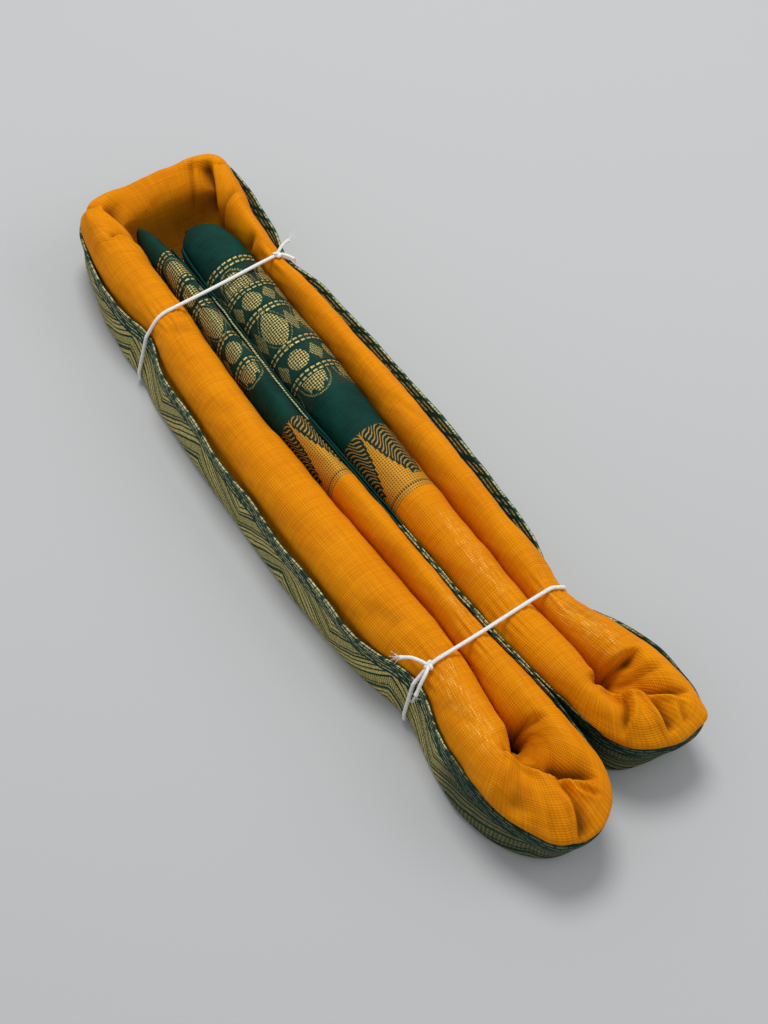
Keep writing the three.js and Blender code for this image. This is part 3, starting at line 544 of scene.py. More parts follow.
class Value:
    """A number in a material's node tree."""

    def __init__(self, tree, socket):
        self.tree, self.socket = tree, socket

    def op(self, kind, *others, clamp=False):
        inputs = dict(enumerate((self,) + others))
        return Value(self.tree, wire(self.tree, "Math", inputs, operation=kind, use_clamp=clamp).outputs[0])

    def __add__(self, other): return self.op("ADD", other)
    def __sub__(self, other): return self.op("SUBTRACT", other)
    def __rsub__(self, other): return (self * -1.0) + other
    def __mul__(self, other): return self.op("MULTIPLY", other)
    def __truediv__(self, other): return self.op("DIVIDE", other)
    def abs(self): return self.op("ABSOLUTE")
    def sin(self): return self.op("SINE")
    def frac(self): return self.op("FRACT")
    def floor(self): return self.op("FLOOR")
    def sqrt(self): return self.op("SQRT")
    def max(self, other): return self.op("MAXIMUM", other)
    def clamp(self): return self.op("ADD", 0.0, clamp=True)

    def step(self, lo, hi):
        """0 below lo and 1 above hi, smooth between; with lo above hi it falls instead."""
        ends = (lo, hi, 0, 1) if lo < hi else (hi, lo, 1, 0)
        inputs = dict(zip(("From Min", "From Max", "To Min", "To Max"), ends), Value=self)
        node = wire(self.tree, "MapRange", inputs, interpolation_type="SMOOTHSTEP")
        return Value(self.tree, node.outputs["Result"])

    def within(self, lo, hi, soft=0.12):
        """1 between lo and hi."""
        return self.step(lo - soft, lo + soft) * self.step(hi + soft, hi - soft)


class Cloth:
    """A material whose coordinates are the cloth's own: u along the band and v round its section, in mm."""

    def __init__(self, name):
        self.material = bpy.data.materials.new(name)
        self.material.use_nodes = True
        self.tree = self.material.node_tree
        self.shader = self.tree.nodes["Principled BSDF"]
        uv = wire(self.tree, "UVMap", {}, uv_map="cloth")
        split = wire(self.tree, "SeparateXYZ", {0: uv.outputs[0]})
        self.u, self.v = (Value(self.tree, split.outputs[k]) * UV_SCALE for k in (0, 1))
        # the painted shade of the folds, read from the mesh
        self.painted_shade = Value(self.tree, wire(self.tree, "Attribute", {}, attribute_name="painted_shade").outputs["Fac"])

    def noise(self, x, y, seed, detail):
        """Noise between 0 and 1 at the place x, y, given in the noise's own cells."""
        place = wire(self.tree, "CombineXYZ", {0: x, 1: y, 2: seed}).outputs[0]
        inputs = {"Vector": place, "Scale": 1.0, "Detail": detail, "Roughness": 0.5}
        return Value(self.tree, wire(self.tree, "TexNoise", inputs).outputs[0])

    def grain(self, along, round_, seed, detail):
        """Noise with cells of these sizes in mm."""
        return self.noise(self.u / along, self.v / round_, seed, detail)

    def mix(self, share, first, second):
        """A colour between first and second, each a colour or a socket."""
        ends = [(*colour, 1) if isinstance(colour, tuple) else colour for colour in (first, second)]
        return wire(self.tree, "Mix", {0: share, 6: ends[0], 7: ends[1]}, data_type="RGBA").outputs[2]

    def finish(self, colour, height, roughness, metal=None, strength=0.5, distance=0.3, sheen=0.0):
        """Joins the colour, darkened by the painted shade of the folds, the bump's height, the roughness and
        the metal to the shader.
        """
        bump = wire(self.tree, "Bump", {"Strength": strength, "Distance": distance * MM, "Height": height})
        linked = {"Base Color": self.mix(self.painted_shade * FOLD_SHADE, colour, (0.0, 0.0, 0.0)),
                  "Roughness": roughness.socket, "Normal": bump.outputs[0]}
        if metal is not None:
            linked["Metallic"] = metal.socket
        for key, socket in linked.items():
            self.tree.links.new(socket, self.shader.inputs[key])
        for key, value in (("Specular IOR Level", 0.1), ("Sheen Weight", sheen), ("Sheen Roughness", 0.45)):
            self.shader.inputs[key].default_value = value
        return self.material


def hue(*rgb):
    """A colour as the eye reads it, 0 to 255, turned to the renderer's own scale."""
    return tuple(c / 12.92 if c <= 0.04045 else ((c + 0.055) / 1.055) ** 2.4 for c in (k / 255 for k in rgb))


TAU = 2 * math.pi
FOLD_SHADE = 0.72  # how dark the painted shade makes the bottom of a fold
WEAVE = 1.15  # spacing of the mustard cloth's threads as they show
GREEN, GREEN_DARK, GREEN_LIGHT = hue(12, 66, 54), hue(6, 38, 32), hue(30, 98, 84)
MUSTARD, MUSTARD_DEEP, MUSTARD_LIGHT = hue(241, 154, 2), hue(206, 114, 0), hue(250, 184, 50)
MUSTARD_HOLE, MUSTARD_GLINT = hue(172, 88, 0), hue(255, 214, 116)


def largest(values):
    """The largest of several numbers at each place."""
    first, *others = values
    for other in others:
        first = first.max(other)
    return first


def glint_patches(c, patches):
    """Where the light gold threads show. A patch is a place along the band and round the roll and reaches."""
    places = [((c.u - u) / long, (c.v - v) / wide) for u, v, long, wide in patches]
    return largest((1.0 - (du * du + dv * dv)).max(0.0).step(0.0, 0.7) for du, dv in places)


def mustard_cloth(patches):
    """Mustard cotton: a grid of fine threads with slubs, small holes and gold threads that glint."""
    c = Cloth("mustard_cotton")
    wave = c.grain(34, 30, 3.1, 3) - 0.5
    cu, cv = c.u + wave * 2.2, c.v + wave * 1.2
    across, along = (cu * (TAU / WEAVE)).sin(), (cv * (TAU / WEAVE)).sin()
    threads = c.noise(cu / 0.6, cv / 20, 5.5, 1)
    warp = c.noise(cu / 24, cv / 0.6, 9.5, 1)
    slub = c.noise(cu / 1.0, cv / 34, 1.5, 2).step(0.64, 0.8)
    broken = c.noise(cu / 5.0, cv / 0.42, 7.7, 2).step(0.53, 0.66) * across.step(-0.6, 0.5)
    stray = c.grain(20, 8, 12.0, 2).step(0.55, 0.75) * 0.3
    glint = (broken * glint_patches(c, patches).max(stray)).clamp()
    shade = (threads * 0.3 + warp * 0.3 + wave * 0.3 + 0.2).step(0.25, 0.75)
    holes = across.step(0.3, 1.0) * 0.5 + along.step(0.3, 1.0) * 0.5
    base = c.mix(shade, MUSTARD_DEEP, MUSTARD)
    base = c.mix(holes * 0.42, c.mix(slub * 0.2, base, MUSTARD_LIGHT), MUSTARD_HOLE)
    base = c.mix(glint * 0.6, base, MUSTARD_GLINT)
    height = (across + along) * -0.25 + threads * 0.2 + warp * 0.15 + slub * 0.2 + glint * 0.2
    return c.finish(base, height, 0.8 - glint * 0.35, glint * 0.3, strength=0.6)


def lattice(u, v, period, share=0.0):
    """Close gold threads with small dark gaps in diagonal rows: 1 on gold. share moves it towards dark."""
    first = ((u + v) * (TAU / period)).sin()
    second = ((u - v) * (TAU / period)).sin()
    return (first * second).step(share - 0.45, share + 0.05)


def ribs(c, period=0.62):
    """The fine ribs across the green cloth, 0 to 1."""
    return (c.u * (TAU / period)).sin() * 0.5 + 0.5


# The end piece's pattern. Places are mm along the band from the first dashed row, sizes are mm.
ROWS = (0.0, 19.4, 36.7, 62.8, 82.0)  # the dashed rows
ROW_LINE, ROW_EDGE = (0.75, 1.75), (2.1, 2.9)  # the two gold lines of a row and the dark ones beside them
DASH, DASH_SHIFT = 3.3, 0.13  # a dash with its gap, and the share of it that a row is shifted for each mm
COINS, COIN_SPACING = (27.9, 72.6), 21.0
COIN_RADIUS, DIAMOND = 5.5, 5.9
LOZENGE, LOZENGE_SIZE = 49.8, (10.6, 8.0)
ARCH, ARCH_RADIUS, ARCH_BAND = 17.2, 7.95, (3.2, 16.8)
HALF_ROSE, ROSE_RADIUS, PETAL, ROSE_HEIGHT = 84.6, 7.2, 4.2, 12
FIGURED = (-2.5, 97.0)  # between these the ground is browner beside the motifs
LOOSE_LATTICE, FINE_LATTICE, LATTICE_GAP = 2.9, 2.3, 0.22
YARN_DARK, YARN_LIGHT = hue(150, 122, 54), hue(232, 214, 140)
PALLU_BROWN, ROW_DARK = hue(92, 66, 30), hue(4, 38, 34)


def pallu_cloth(name, start, centre):
    """Green end cloth with woven gold rows. start is u at the first row, centre v at the motifs' middle."""
    c = Cloth(name)
    q = c.u - start
    turn = (c.v - centre) / COIN_SPACING
    r = ((turn + 0.5).frac() - 0.5) * COIN_SPACING
    wobble = (c.grain(0.9, 0.7, 2.2, 1) - 0.5) * 0.9
    qa, ra = q + wobble, (r + wobble * 0.7).abs()
    between = (ra - COIN_SPACING / 2).abs()
    mesh, fine = (lattice(c.u, c.v, period, LATTICE_GAP) for period in (LOOSE_LATTICE, FINE_LATTICE))

    def round_at(middle, squash=1.0):
        """Distance from a motif's middle; below 1, squash makes the motif longer along the band."""
        return ((qa - middle) * (qa - middle) * squash + ra * ra).sqrt()

    dashes = [((c.v - centre) / DASH + DASH_SHIFT * row).frac().step(0.28, 0.4) for row in ROWS]
    dark = largest((q - row).abs().within(*ROW_EDGE, 0.15) for row in ROWS)
    motifs = [(qa - row).abs().within(*ROW_LINE, 0.15) * dash for row, dash in zip(ROWS, dashes)]
    for middle in COINS:
        diamond = (qa - middle).abs() + between * 1.5
        motifs += [round_at(middle).step(COIN_RADIUS + 0.3, COIN_RADIUS - 0.3) * mesh,
                   diamond.step(DIAMOND + 0.3, DIAMOND - 0.3) * fine * 0.8]
    long, bulge = (qa - LOZENGE).abs() / LOZENGE_SIZE[0], ra / LOZENGE_SIZE[1]
    lozenge = (long * long * 0.8 + bulge * bulge + long * bulge * 0.7).sqrt()
    notch = (lozenge * 3.0 + ra * 0.25).frac().step(0.06, 0.16) * 0.25 + 0.75
    beside = (qa - LOZENGE).abs() * 0.7 + between * 1.6
    motifs += [lozenge.step(1.0, 0.94) * mesh * notch, lozenge.within(1.13, 1.2, 0.03) * fine * 0.5,
               beside.step(6.0, 5.2) * fine * 0.7]
    arch, arches = round_at(ARCH, 0.45), qa.within(*ARCH_BAND, 0.2)
    motifs += [arches * arch.step(ARCH_RADIUS + 0.25, ARCH_RADIUS - 0.25) * mesh,
               arches * arch.within(8.9, 9.8, 0.2) * fine * 0.6]
    rose, roses = round_at(HALF_ROSE, 0.7), qa.within(HALF_ROSE, HALF_ROSE + ROSE_HEIGHT, 0.2)
    petal = (ra * (TAU / PETAL)).sin() * 0.8 + ROSE_RADIUS
    motifs += [roses * (petal - rose).step(-0.1, 0.4) * mesh, roses * rose.within(8.6, 9.4, 0.2) * fine * 0.6]

    worn = c.grain(1.5, 0.8, 4.0, 2).step(0.25, 0.55)
    gold = (largest(motifs) * (worn * 0.4 + 0.6)).clamp()
    rib_height = ribs(c)
    thread, broad = c.grain(0.5, 16, 8.0, 1), c.grain(20, 14, 6.0, 3)
    brown = c.grain(0.9, 0.6, 9.0, 1).step(0.48, 0.62) * q.within(*FIGURED, 0.4) * turn.abs().step(0.2, 0.55)
    ground = c.mix((thread * 0.5 + broad * 0.6).step(0.3, 0.85), GREEN_DARK, GREEN)
    ground = c.mix(rib_height.step(0.75, 1.0) * 0.12, ground, GREEN_LIGHT)
    ground = c.mix(dark * 0.75, c.mix(brown * 0.45, ground, PALLU_BROWN), ROW_DARK)
    yarn = c.mix(c.grain(0.8, 0.5, 3.0, 2).step(0.36, 0.66), YARN_DARK, YARN_LIGHT)
    height = rib_height * 0.4 + gold * 0.6 + thread * 0.3
    return c.finish(c.mix(gold, ground, yarn), height, 0.7 - gold * 0.25, gold * 0.35)


SPIRE_SPACING, TIER = 24.0, 3.4  # from spire to spire, and the height of a spire's steps
SPIRE_WIDENS = (16.0, 0.16), (30.0, 0.9)  # from here on a spire is wider by this much more for each mm
FEATHER = 2.5  # spacing of the hatched leaves beside the spires
SPIRE_BASE, BASE_STITCH = (38.6, 39.6), 1.3  # the green stitched line under the spires
LEAF, SPIRE_DARK, SPIRE_LIGHT = hue(166, 128, 62), hue(132, 82, 16), hue(204, 146, 46)


def temple_cloth(name, start, centre):
    """The stepped spire of gold that runs from the mustard into the green. start is u at the green's end."""
    c = Cloth(name)
    q = c.u - start
    r = ((((c.v - centre) / SPIRE_SPACING + 0.5).frac() - 0.5) * SPIRE_SPACING).abs()
    rough = (c.grain(0.8, 0.8, 1.0, 1) - 0.5) * 0.8
    tier = ((q + rough * 0.4) / TIER).floor() * TIER
    reach = (tier * 0.2 - 0.2).max(0.5)
    for place, slope in SPIRE_WIDENS:
        reach = reach + (tier - place).max(0.0) * slope
    spire = (reach - r).step(-0.15, 0.2) * q.step(1.2, 1.8)
    edge = (r - reach).within(-0.1, 1.1, 0.15) * q.step(3.0, 5.0)
    leaf_phase = (q + r * 1.1 + (r * 0.9).sin() * 0.9 + rough) / FEATHER
    feather = (leaf_phase.frac() - 0.5).abs().step(0.27, 0.37) * (1 - edge)
    feather = feather * (c.grain(0.6, 0.6, 4.0, 1).step(0.2, 0.5) * 0.5 + 0.5)
    mesh = (((c.u * (TAU / 1.3)).sin() + (c.v * (TAU / 1.3)).sin()) * 0.25 + 0.5).step(0.15, 0.6)
    ground = c.mix(c.grain(1.0, 12, 2.0, 1), hue(10, 34, 28), hue(24, 50, 38))
    leaf = c.mix(feather * q.step(0.4, 1.4), ground, LEAF)
    colour = c.mix(spire, leaf, c.mix(mesh, SPIRE_DARK, SPIRE_LIGHT))
    line = q.within(*SPIRE_BASE, 0.2) * (c.v / BASE_STITCH).frac().step(0.25, 0.4)
    height = mesh * 0.3 + spire * 0.4 + feather * 0.3 + ribs(c, 0.8) * 0.3
    metal = spire.max(feather) * 0.2
    return c.finish(c.mix(line * 0.85, colour, GREEN_DARK), height, 0.7 - metal * 0.6, metal)


# The border's pattern, mm: rows of dashes at the rim, then bands of lattice and of rules that zigzag
LINE_PITCH, CLOSE_PITCH, BORDER_DASH = 2.2, 1.2, 3.1
SLANT, RARE_SLANT = 13.5, 31.0  # spacing of the slanting gaps in the rows
ZIGZAG, ZIGZAG_HEIGHT = 78.0, 24.0
BAND, RULE, LATTICE_ROW, BORDER_LATTICE = 17.0, 3.1, 5.6, 2.0
GROUND_FROM = 9.0  # the bands begin this far below the rim
ROPE_TURN = 1.7
HIGH_YARN = hue(122, 128, 78), hue(220, 216, 164)  # the rim's rows
LOW_YARN = hue(166, 148, 70), hue(246, 226, 138)  # the bands below


def border_cloth(stops):
    """The border: v runs down from the rim, with dashed selvedge lines first and the lattice of the ground
    below. stops are u where the middle strip turns from plain to roped or striped, and at the bends' ends."""
    c = Cloth("zari_border")
    drift = (c.grain(22, 16, 4.0, 2) - 0.5) * 1.8
    h = c.v + (c.grain(30, 30, 8.0, 1) - 0.5) * 0.6
    u = c.u + drift
    before = lambda stop, soft: c.u.step(stops[stop] + soft, stops[stop] - soft)
    after = lambda stop, soft: c.u.step(stops[stop] - soft, stops[stop] + soft)
    between = lambda first, last, soft: c.u.within(stops[first], stops[last], soft)
    middle = before("striped", 2).max(after("striped_end", 2))
    rope = between("tie", "plain", 1.0)
    plain = largest([before("tie", 1), between("plain", "stripes", 1.0), after("stripes_end", 1)])
    shade = between("left_bend", "left_bend_end", 8.0).max(between("right_bend", "right_bend_end", 8.0))

    close = ((h + 0.2) / CLOSE_PITCH).frac().within(0.25, 0.75, 0.1) * h.within(-2.6, 6.8) * middle
    stripe = ((h / LINE_PITCH).frac().within(0.12, 0.52, 0.08) * h.within(0.1, 8.7) * (1 - middle)).max(close)
    dash = (u / BORDER_DASH + (h / LINE_PITCH).floor() * 0.37).frac().step(0.08, 0.18)
    slant = ((u + h * 1.5) / SLANT).frac().within(0.08, 0.3, 0.03)
    rare = ((u + h * 1.7) / RARE_SLANT).frac().within(0.1, 0.2, 0.01)
    lines = stripe * dash * (1 - slant.max(rare) * 0.95) * (1 - plain) * (1 - rope)
    rope_line = rope * h.abs().step(1.5, 1.1) * ((u + h) / ROPE_TURN).frac().step(0.2, 0.4)

    saw = ((u / ZIGZAG).frac() - 0.5).abs() * 2.0
    k = h * 0.95 + saw * ZIGZAG_HEIGHT
    part = (k / BAND).frac()
    ruled = part.step(0.42, 0.46)
    mesh = lattice(u, h, BORDER_LATTICE, -0.05) * (k / LATTICE_ROW).frac().step(0.1, 0.2)
    brocade = ruled * (k / RULE).frac().within(0.0, 0.7, 0.06) + (1 - ruled) * mesh
    edge = largest([part.within(0.43, 0.5, 0.015), part.step(0.95, 0.965), part.step(0.035, 0.02)])
    brocade = (brocade * (1 - edge)).clamp() * h.step(GROUND_FROM, GROUND_FROM + 0.5)

    gold = largest([lines * 0.85, rope_line, brocade * 0.85]).clamp()
    worn = c.noise(u / 2.0, h / 0.8, 2.0, 2).step(0.25, 0.6)
    gold = gold * (worn * 0.45 + 0.55) * (1 - shade * 0.6)
    ground = c.mix(c.grain(14, 0.5, 8.0, 1).step(0.3, 0.8), hue(6, 44, 38), hue(14, 72, 62))
    fleck = c.noise(u / 0.9, h / 0.5, 3.0, 2)
    low, high = c.mix(fleck.step(0.36, 0.62), *LOW_YARN), c.mix(fleck.step(0.3, 0.6), *HIGH_YARN)
    yarn = c.mix(lines.max(rope_line), low, high)
    colour = c.mix(shade * 0.3, c.mix(gold, ground, yarn), (0.0, 0.0, 0.0))
    rib = (c.v * (TAU / 0.7)).sin() * 0.5 + 0.5
    return c.finish(colour, rib * 0.4 + gold * 0.5, 0.7 - gold * 0.2, gold * 0.3)


def twine_cloth():
    """White cotton twine, with its fibres along u."""
    c = Cloth("twine")
    fibre = c.grain(1.4, 0.22, 1.0, 3)
    colour = c.mix(fibre.step(0.3, 0.75), hue(226, 223, 214), hue(255, 254, 251))
    return c.finish(colour, fibre, fibre * 0.05 + 0.85, strength=0.6, distance=0.25, sheen=0.3)


# ---------------------------------------------------------------- cloth pieces of the band
PALLU_MARK, TEMPLE_MARK = (
    {side: nearest(INNER[side], seam[side]) for side in INNER} for seam in (PALLU_SEAM, TEMPLE_END))
MOTIF_OFFSET = {"left": -3.5, "right": 6.5}  # from the skin's middle to the motifs', towards the border
NOSE_STEPS, NOSE_REACH = 7, 4.2  # rings of a tip's nose, and its length
NOSE_HEIGHT, NOSE_END = 0.45, 0.02  # its height as a share of the tip's, and the size of its last ring

# u of the cloth's coordinates counts along the band, v round the roll from the skin's middle column
# the skin, its length and girth at each point, and the painted shade of its folds
skin, skin_s, skin_girth, skin_painted_shade = dressed_rolls()
COLUMNS = skin.shape[1]
skin_middle = skin_girth[:, COLUMNS // 2 - 1][:, None]
skin_uv = np.stack([skin_s, skin_girth - skin_middle], -1)


def closed_tip(points, uv, at_start):
    """Folds the skin shut over a tip: the end ring is drawn in to a rounded nose."""
    ring, ring_uv = (points[0], uv[0]) if at_start else (points[-1], uv[-1])
    middle = ring.mean(0)
    middle[2] = ring[:, 2].max() * NOSE_HEIGHT
    rings, uvs = [], []
    for k in range(1, NOSE_STEPS + 1):
        turn = k / NOSE_STEPS * math.pi / 2
        reach = NOSE_REACH * math.sin(turn)
        new = middle + (ring - middle) * max(math.cos(turn), NOSE_END)
        new[:, 1] = ring[:, 1] + reach
        rings.append(new)
        uvs.append(ring_uv + np.array([-reach if at_start else reach, 0]))
    if at_start:
        return np.concatenate([rings[::-1], points]), np.concatenate([uvs[::-1], uv])
    return np.concatenate([points, rings]), np.concatenate([uv, uvs])


def skin_piece(name, i0, i1, material, slot, tip=None):
    """A sheet of the skin from station i0 to i1, its tip closed at the start or the end, and its cut in m."""
    points, uv, painted_shade = skin[i0:i1 + 1], skin_uv[i0:i1 + 1], skin_painted_shade[i0:i1 + 1]
    if tip:
        points, uv = closed_tip(points, uv, tip == "start")
        # the nose's rings get no painted shade
        extra = np.zeros((NOSE_STEPS, COLUMNS))
        painted_shade = np.concatenate([extra, painted_shade] if tip == "start" else [painted_shade, extra])
    obj = make(name, points, grid_faces(points.shape[0], COLUMNS), uv, slot, painted_shade)
    obj.data.materials.append(material)
    size = np.linalg.norm(np.diff(points, axis=0), axis=-1).mean(1).sum()
    girth = np.linalg.norm(np.diff(points, axis=1), axis=-1).sum(1).mean()
    return obj, (girth * MM, size * MM)


GLINTS = [  # along, round, reach along, reach round
    (along_at(OUTER["left"], -140), 2, 34, 8), (along_at(OUTER["right"], -138), -2, 26, 9),
    (along_at(INNER["left"], -100), 3, 26, 4), (along_at(INNER["right"], -85), -1, 34, 6),
]
field_obj, field_flat = skin_piece(
    "field_band", TEMPLE_MARK["left"], TEMPLE_MARK["right"], mustard_cloth(GLINTS), "mustard cotton")
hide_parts("field_left_inner", "field_near_left_bend", "field_left_outer", "field_far_bend",
            "field_right_outer", "field_near_right_bend", "field_right_inner")

sheets = [(field_obj, field_flat)]
END_SLOT = "green and gold end cloth"
for side, sign, tip, end in (("left", 1, "start", 0), ("right", -1, "end", COUNT - 1)):
    skin_uv[..., 0] = sign * skin_s  # on both end pieces u grows from the tip to the spire
    offset = MOTIF_OFFSET[side]
    weave = pallu_cloth(f"pallu_{side}_weave", sign * inner_at(side, ROW_START[side]), offset)
    a, b = sorted((end, PALLU_MARK[side]))
    pallu = skin_piece(f"pallu_{side}_cloth", a, b, weave, END_SLOT, tip)
    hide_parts(f"pallu_{side}")
    weave = temple_cloth(f"temple_{side}_weave", sign * inner_at(side, PALLU_SEAM[side]), offset)
    a, b = sorted((PALLU_MARK[side], TEMPLE_MARK[side]))
    sheets += [pallu, skin_piece(f"temple_{side}_cloth", a, b, weave, END_SLOT)]

# ---------------------------------------------------------------- the border wall and its sole
WALL_STEPS, SOLE_STEPS = 12, 6
WALL_NOMINAL = 30.0  # the places up the wall below are on a wall of this height
FOOT, FOOT_HEIGHT = 1.1, 3.0  # its outer foot is rounded in
RIM_ACROSS, RIM_UP = np.array([[0.86, 0.5, 0.12]]), np.array([[-0.08, 0.12, -0.1]])  # the rounded rim
SLACK_SLOPE = 8.0  # the wall slopes up from the roll to the slack rim over this height


def border_points():
    """The border's section at every station: up outside, over the rim, down inside, and round the sole."""
    b = {name: band[name][:, None] for name in FIELDS}
    s, foot_z, side = ALONG[:, None], b["raised"], b["width"] + GAP
    outside = b["wall"] > (WALL + MIDDLE_WALL) / 2
    wave = 0.35 * wander(s, 21, 60) + 0.2 * wander(s, 22, 19)
    rim = b["rim"] + 0.7 * wander(s, 23, 95) * outside + 0.25 * wander(s, 24, 23)
    up = np.linspace(0, 1, WALL_STEPS)[None]
    down = up[:, ::-1]

    def lean(share, low, high, waves):
        """How far a face leans out: as the floor's outline below, and as the waving rim above."""
        place = share * WALL_NOMINAL
        above = (b["stand"] + waves * wave) * smooth_step(place, *high)
        return b["out"] * (1 - smooth_step(place, *low)) + above

    foot = FOOT * (1 - smooth_step(up * WALL_NOMINAL, 0, FOOT_HEIGHT)) ** 2
    a_out = side + b["wall"] + lean(up, (2, 28), (8, 30), 0.35) - foot + 0.35 * np.sin(up * 9 + s / 21)
    z_out = foot_z + (rim - 0.6 - foot_z) * up
    a_rim = side + (b["stand"] + 0.35 * wave) + b["wall"] * RIM_ACROSS
    z_rim = rim + RIM_UP
    z_in = foot_z + SOLE + (rim - 0.7 - foot_z - SOLE) * down
    drawn_in = 0.9 * b["slack"] * smooth_step(rim - z_in, 0.4, SLACK_SLOPE)
    a_in = side + lean(down, (4, 27), (20, 30), 0.3) - drawn_in
    sole = np.linspace(0, 0.97, SOLE_STEPS)[None] * (side + b["out"])
    return placed(b, [a_out, a_rim, a_in, sole[:, ::-1], sole],
                  [z_out, z_rim, z_in, sole * 0 + foot_z + SOLE, sole * 0 + foot_z])


def tube_faces(rings, sides, closed=False):
    """Faces between a tube's rings, which is closed to a loop or has a cap on each end."""
    faces = []
    for i in range(rings if closed else rings - 1):
        a, b = i * sides, (i + 1) % rings * sides
        faces += [[a + k, a + (k + 1) % sides, b + (k + 1) % sides, b + k] for k in range(sides)]
    if not closed:
        faces += [list(range(sides))[::-1], [(rings - 1) * sides + k for k in range(sides)]]
    return faces


i0, i1 = nearest(INNER["left"], BORDER_END), nearest(INNER["right"], BORDER_END)
border = border_points()[i0:i1 + 1]
girth = girths(border)
down_from_rim = girth[:, WALL_STEPS][:, None] - girth
border_uv = np.stack([ALONG[i0:i1 + 1, None] + 0 * girth, np.abs(down_from_rim)], -1)
border_obj = make("border_band", border, tube_faces(*border.shape[:2]), border_uv, "green and gold border")
ROPE_END, STRIPES_START = 27.2, -47.1  # y on the middle strip, where its rope ends and its stripes start
SHADE_END = -150.0  # y on the outer runs where the shade of the near bends' wall ends
SHADE_LEFT, SHADE_RIGHT = 78, 66  # and how far it runs round the bends
STOPS = dict(
    tie=inner_at("left", TIES[0]["y"]), plain=inner_at("left", ROPE_END),
    stripes=inner_at("left", STRIPES_START), stripes_end=inner_at("right", STRIPES_START),
    striped=inner_at("left", NEAR_SEAM), striped_end=inner_at("right", NEAR_SEAM),
    left_bend=along_at(OUTER["left"], NEAR_SEAM) - SHADE_LEFT,
    left_bend_end=along_at(OUTER["left"], SHADE_END),
    right_bend=along_at(OUTER["right"], SHADE_END),
    right_bend_end=along_at(OUTER["right"], NEAR_SEAM) + SHADE_RIGHT,
)
border_obj.data.materials.append(border_cloth(STOPS))
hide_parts("border_left", "border_far", "border_right", "border_near_left", "border_near_right",
            "border_middle_left", "border_middle_right")
border_flat = float(girth.max(1).mean()) / 2 * MM, float(ALONG[i1] - ALONG[i0]) * MM  # two faces, one cloth

# ---------------------------------------------------------------- ties
def lengths(path):
    """The length of a path up to each of its points."""
    return np.concatenate([[0], np.cumsum(np.linalg.norm(np.diff(path, axis=0), axis=1))])


def sweep(path, radius, sides, lay, strands=3, depth=0.18, taper=None, closed=False):
    """Twine along a path: its strands wind round it, a full turn in every lay mm."""
    path = np.array(path, float)
    n = len(path)
    ahead = np.roll(path, -1, 0) - np.roll(path, 1, 0) if closed else np.gradient(path, axis=0)
    ahead /= np.linalg.norm(ahead, axis=1)[:, None]
    dist = lengths(path)
    normal = np.cross(ahead[0], (0.13, 0.9, 0.41))
    rings, uv = [], []
    for i in range(n):
        normal = normal - ahead[i] * normal.dot(ahead[i])
        normal /= np.linalg.norm(normal)
        other = np.cross(ahead[i], normal)
        angle = np.arange(sides) * TAU / sides
        round_ = np.cos(angle)[:, None] * normal + np.sin(angle)[:, None] * other
        size = radius * (1 if taper is None else taper[i])
        r = size * (1 - depth + depth * np.abs(np.cos(strands / 2 * (angle - TAU * dist[i] / lay))) ** 0.7)
        rings.append(path[i] + r[:, None] * round_)
        uv.append(np.stack([np.full(sides, dist[i]), angle * radius], 1))
    return np.concatenate(rings), tube_faces(n, sides, closed), np.concatenate(uv)


def even_path(points, step, closed=False):
    """Evenly spaced points on a smooth curve through the given ones."""
    p = np.array(points, float)
    n = len(p)
    get = (lambda k: p[k % n]) if closed else (lambda k: p[min(max(k, 0), n - 1)])
    dense = []
    for i in range(n if closed else n - 1):
        p0, p1, p2, p3 = get(i - 1), get(i), get(i + 1), get(i + 2)
        for t in np.linspace(0, 1, 24, endpoint=False):
            dense.append(0.5 * (2 * p1 + (p2 - p0) * t + (2 * p0 - 5 * p1 + 4 * p2 - p3) * t * t
                                + (3 * p1 - p0 - 3 * p2 + p3) * t ** 3))
    dense.append(get(n) if closed else p[-1])
    dense = np.array(dense)
    d = lengths(dense)
    count = max(4, int(d[-1] / step))
    at = np.linspace(0, d[-1], count + 1)
    if closed:
        at = at[:-1]
    return np.stack([np.interp(at, d, dense[:, k]) for k in range(3)], 1)


ROUTE_STEP, ROUTE_EVENED = 0.45, 5  # between the points of a tie's route, and how many of them are averaged


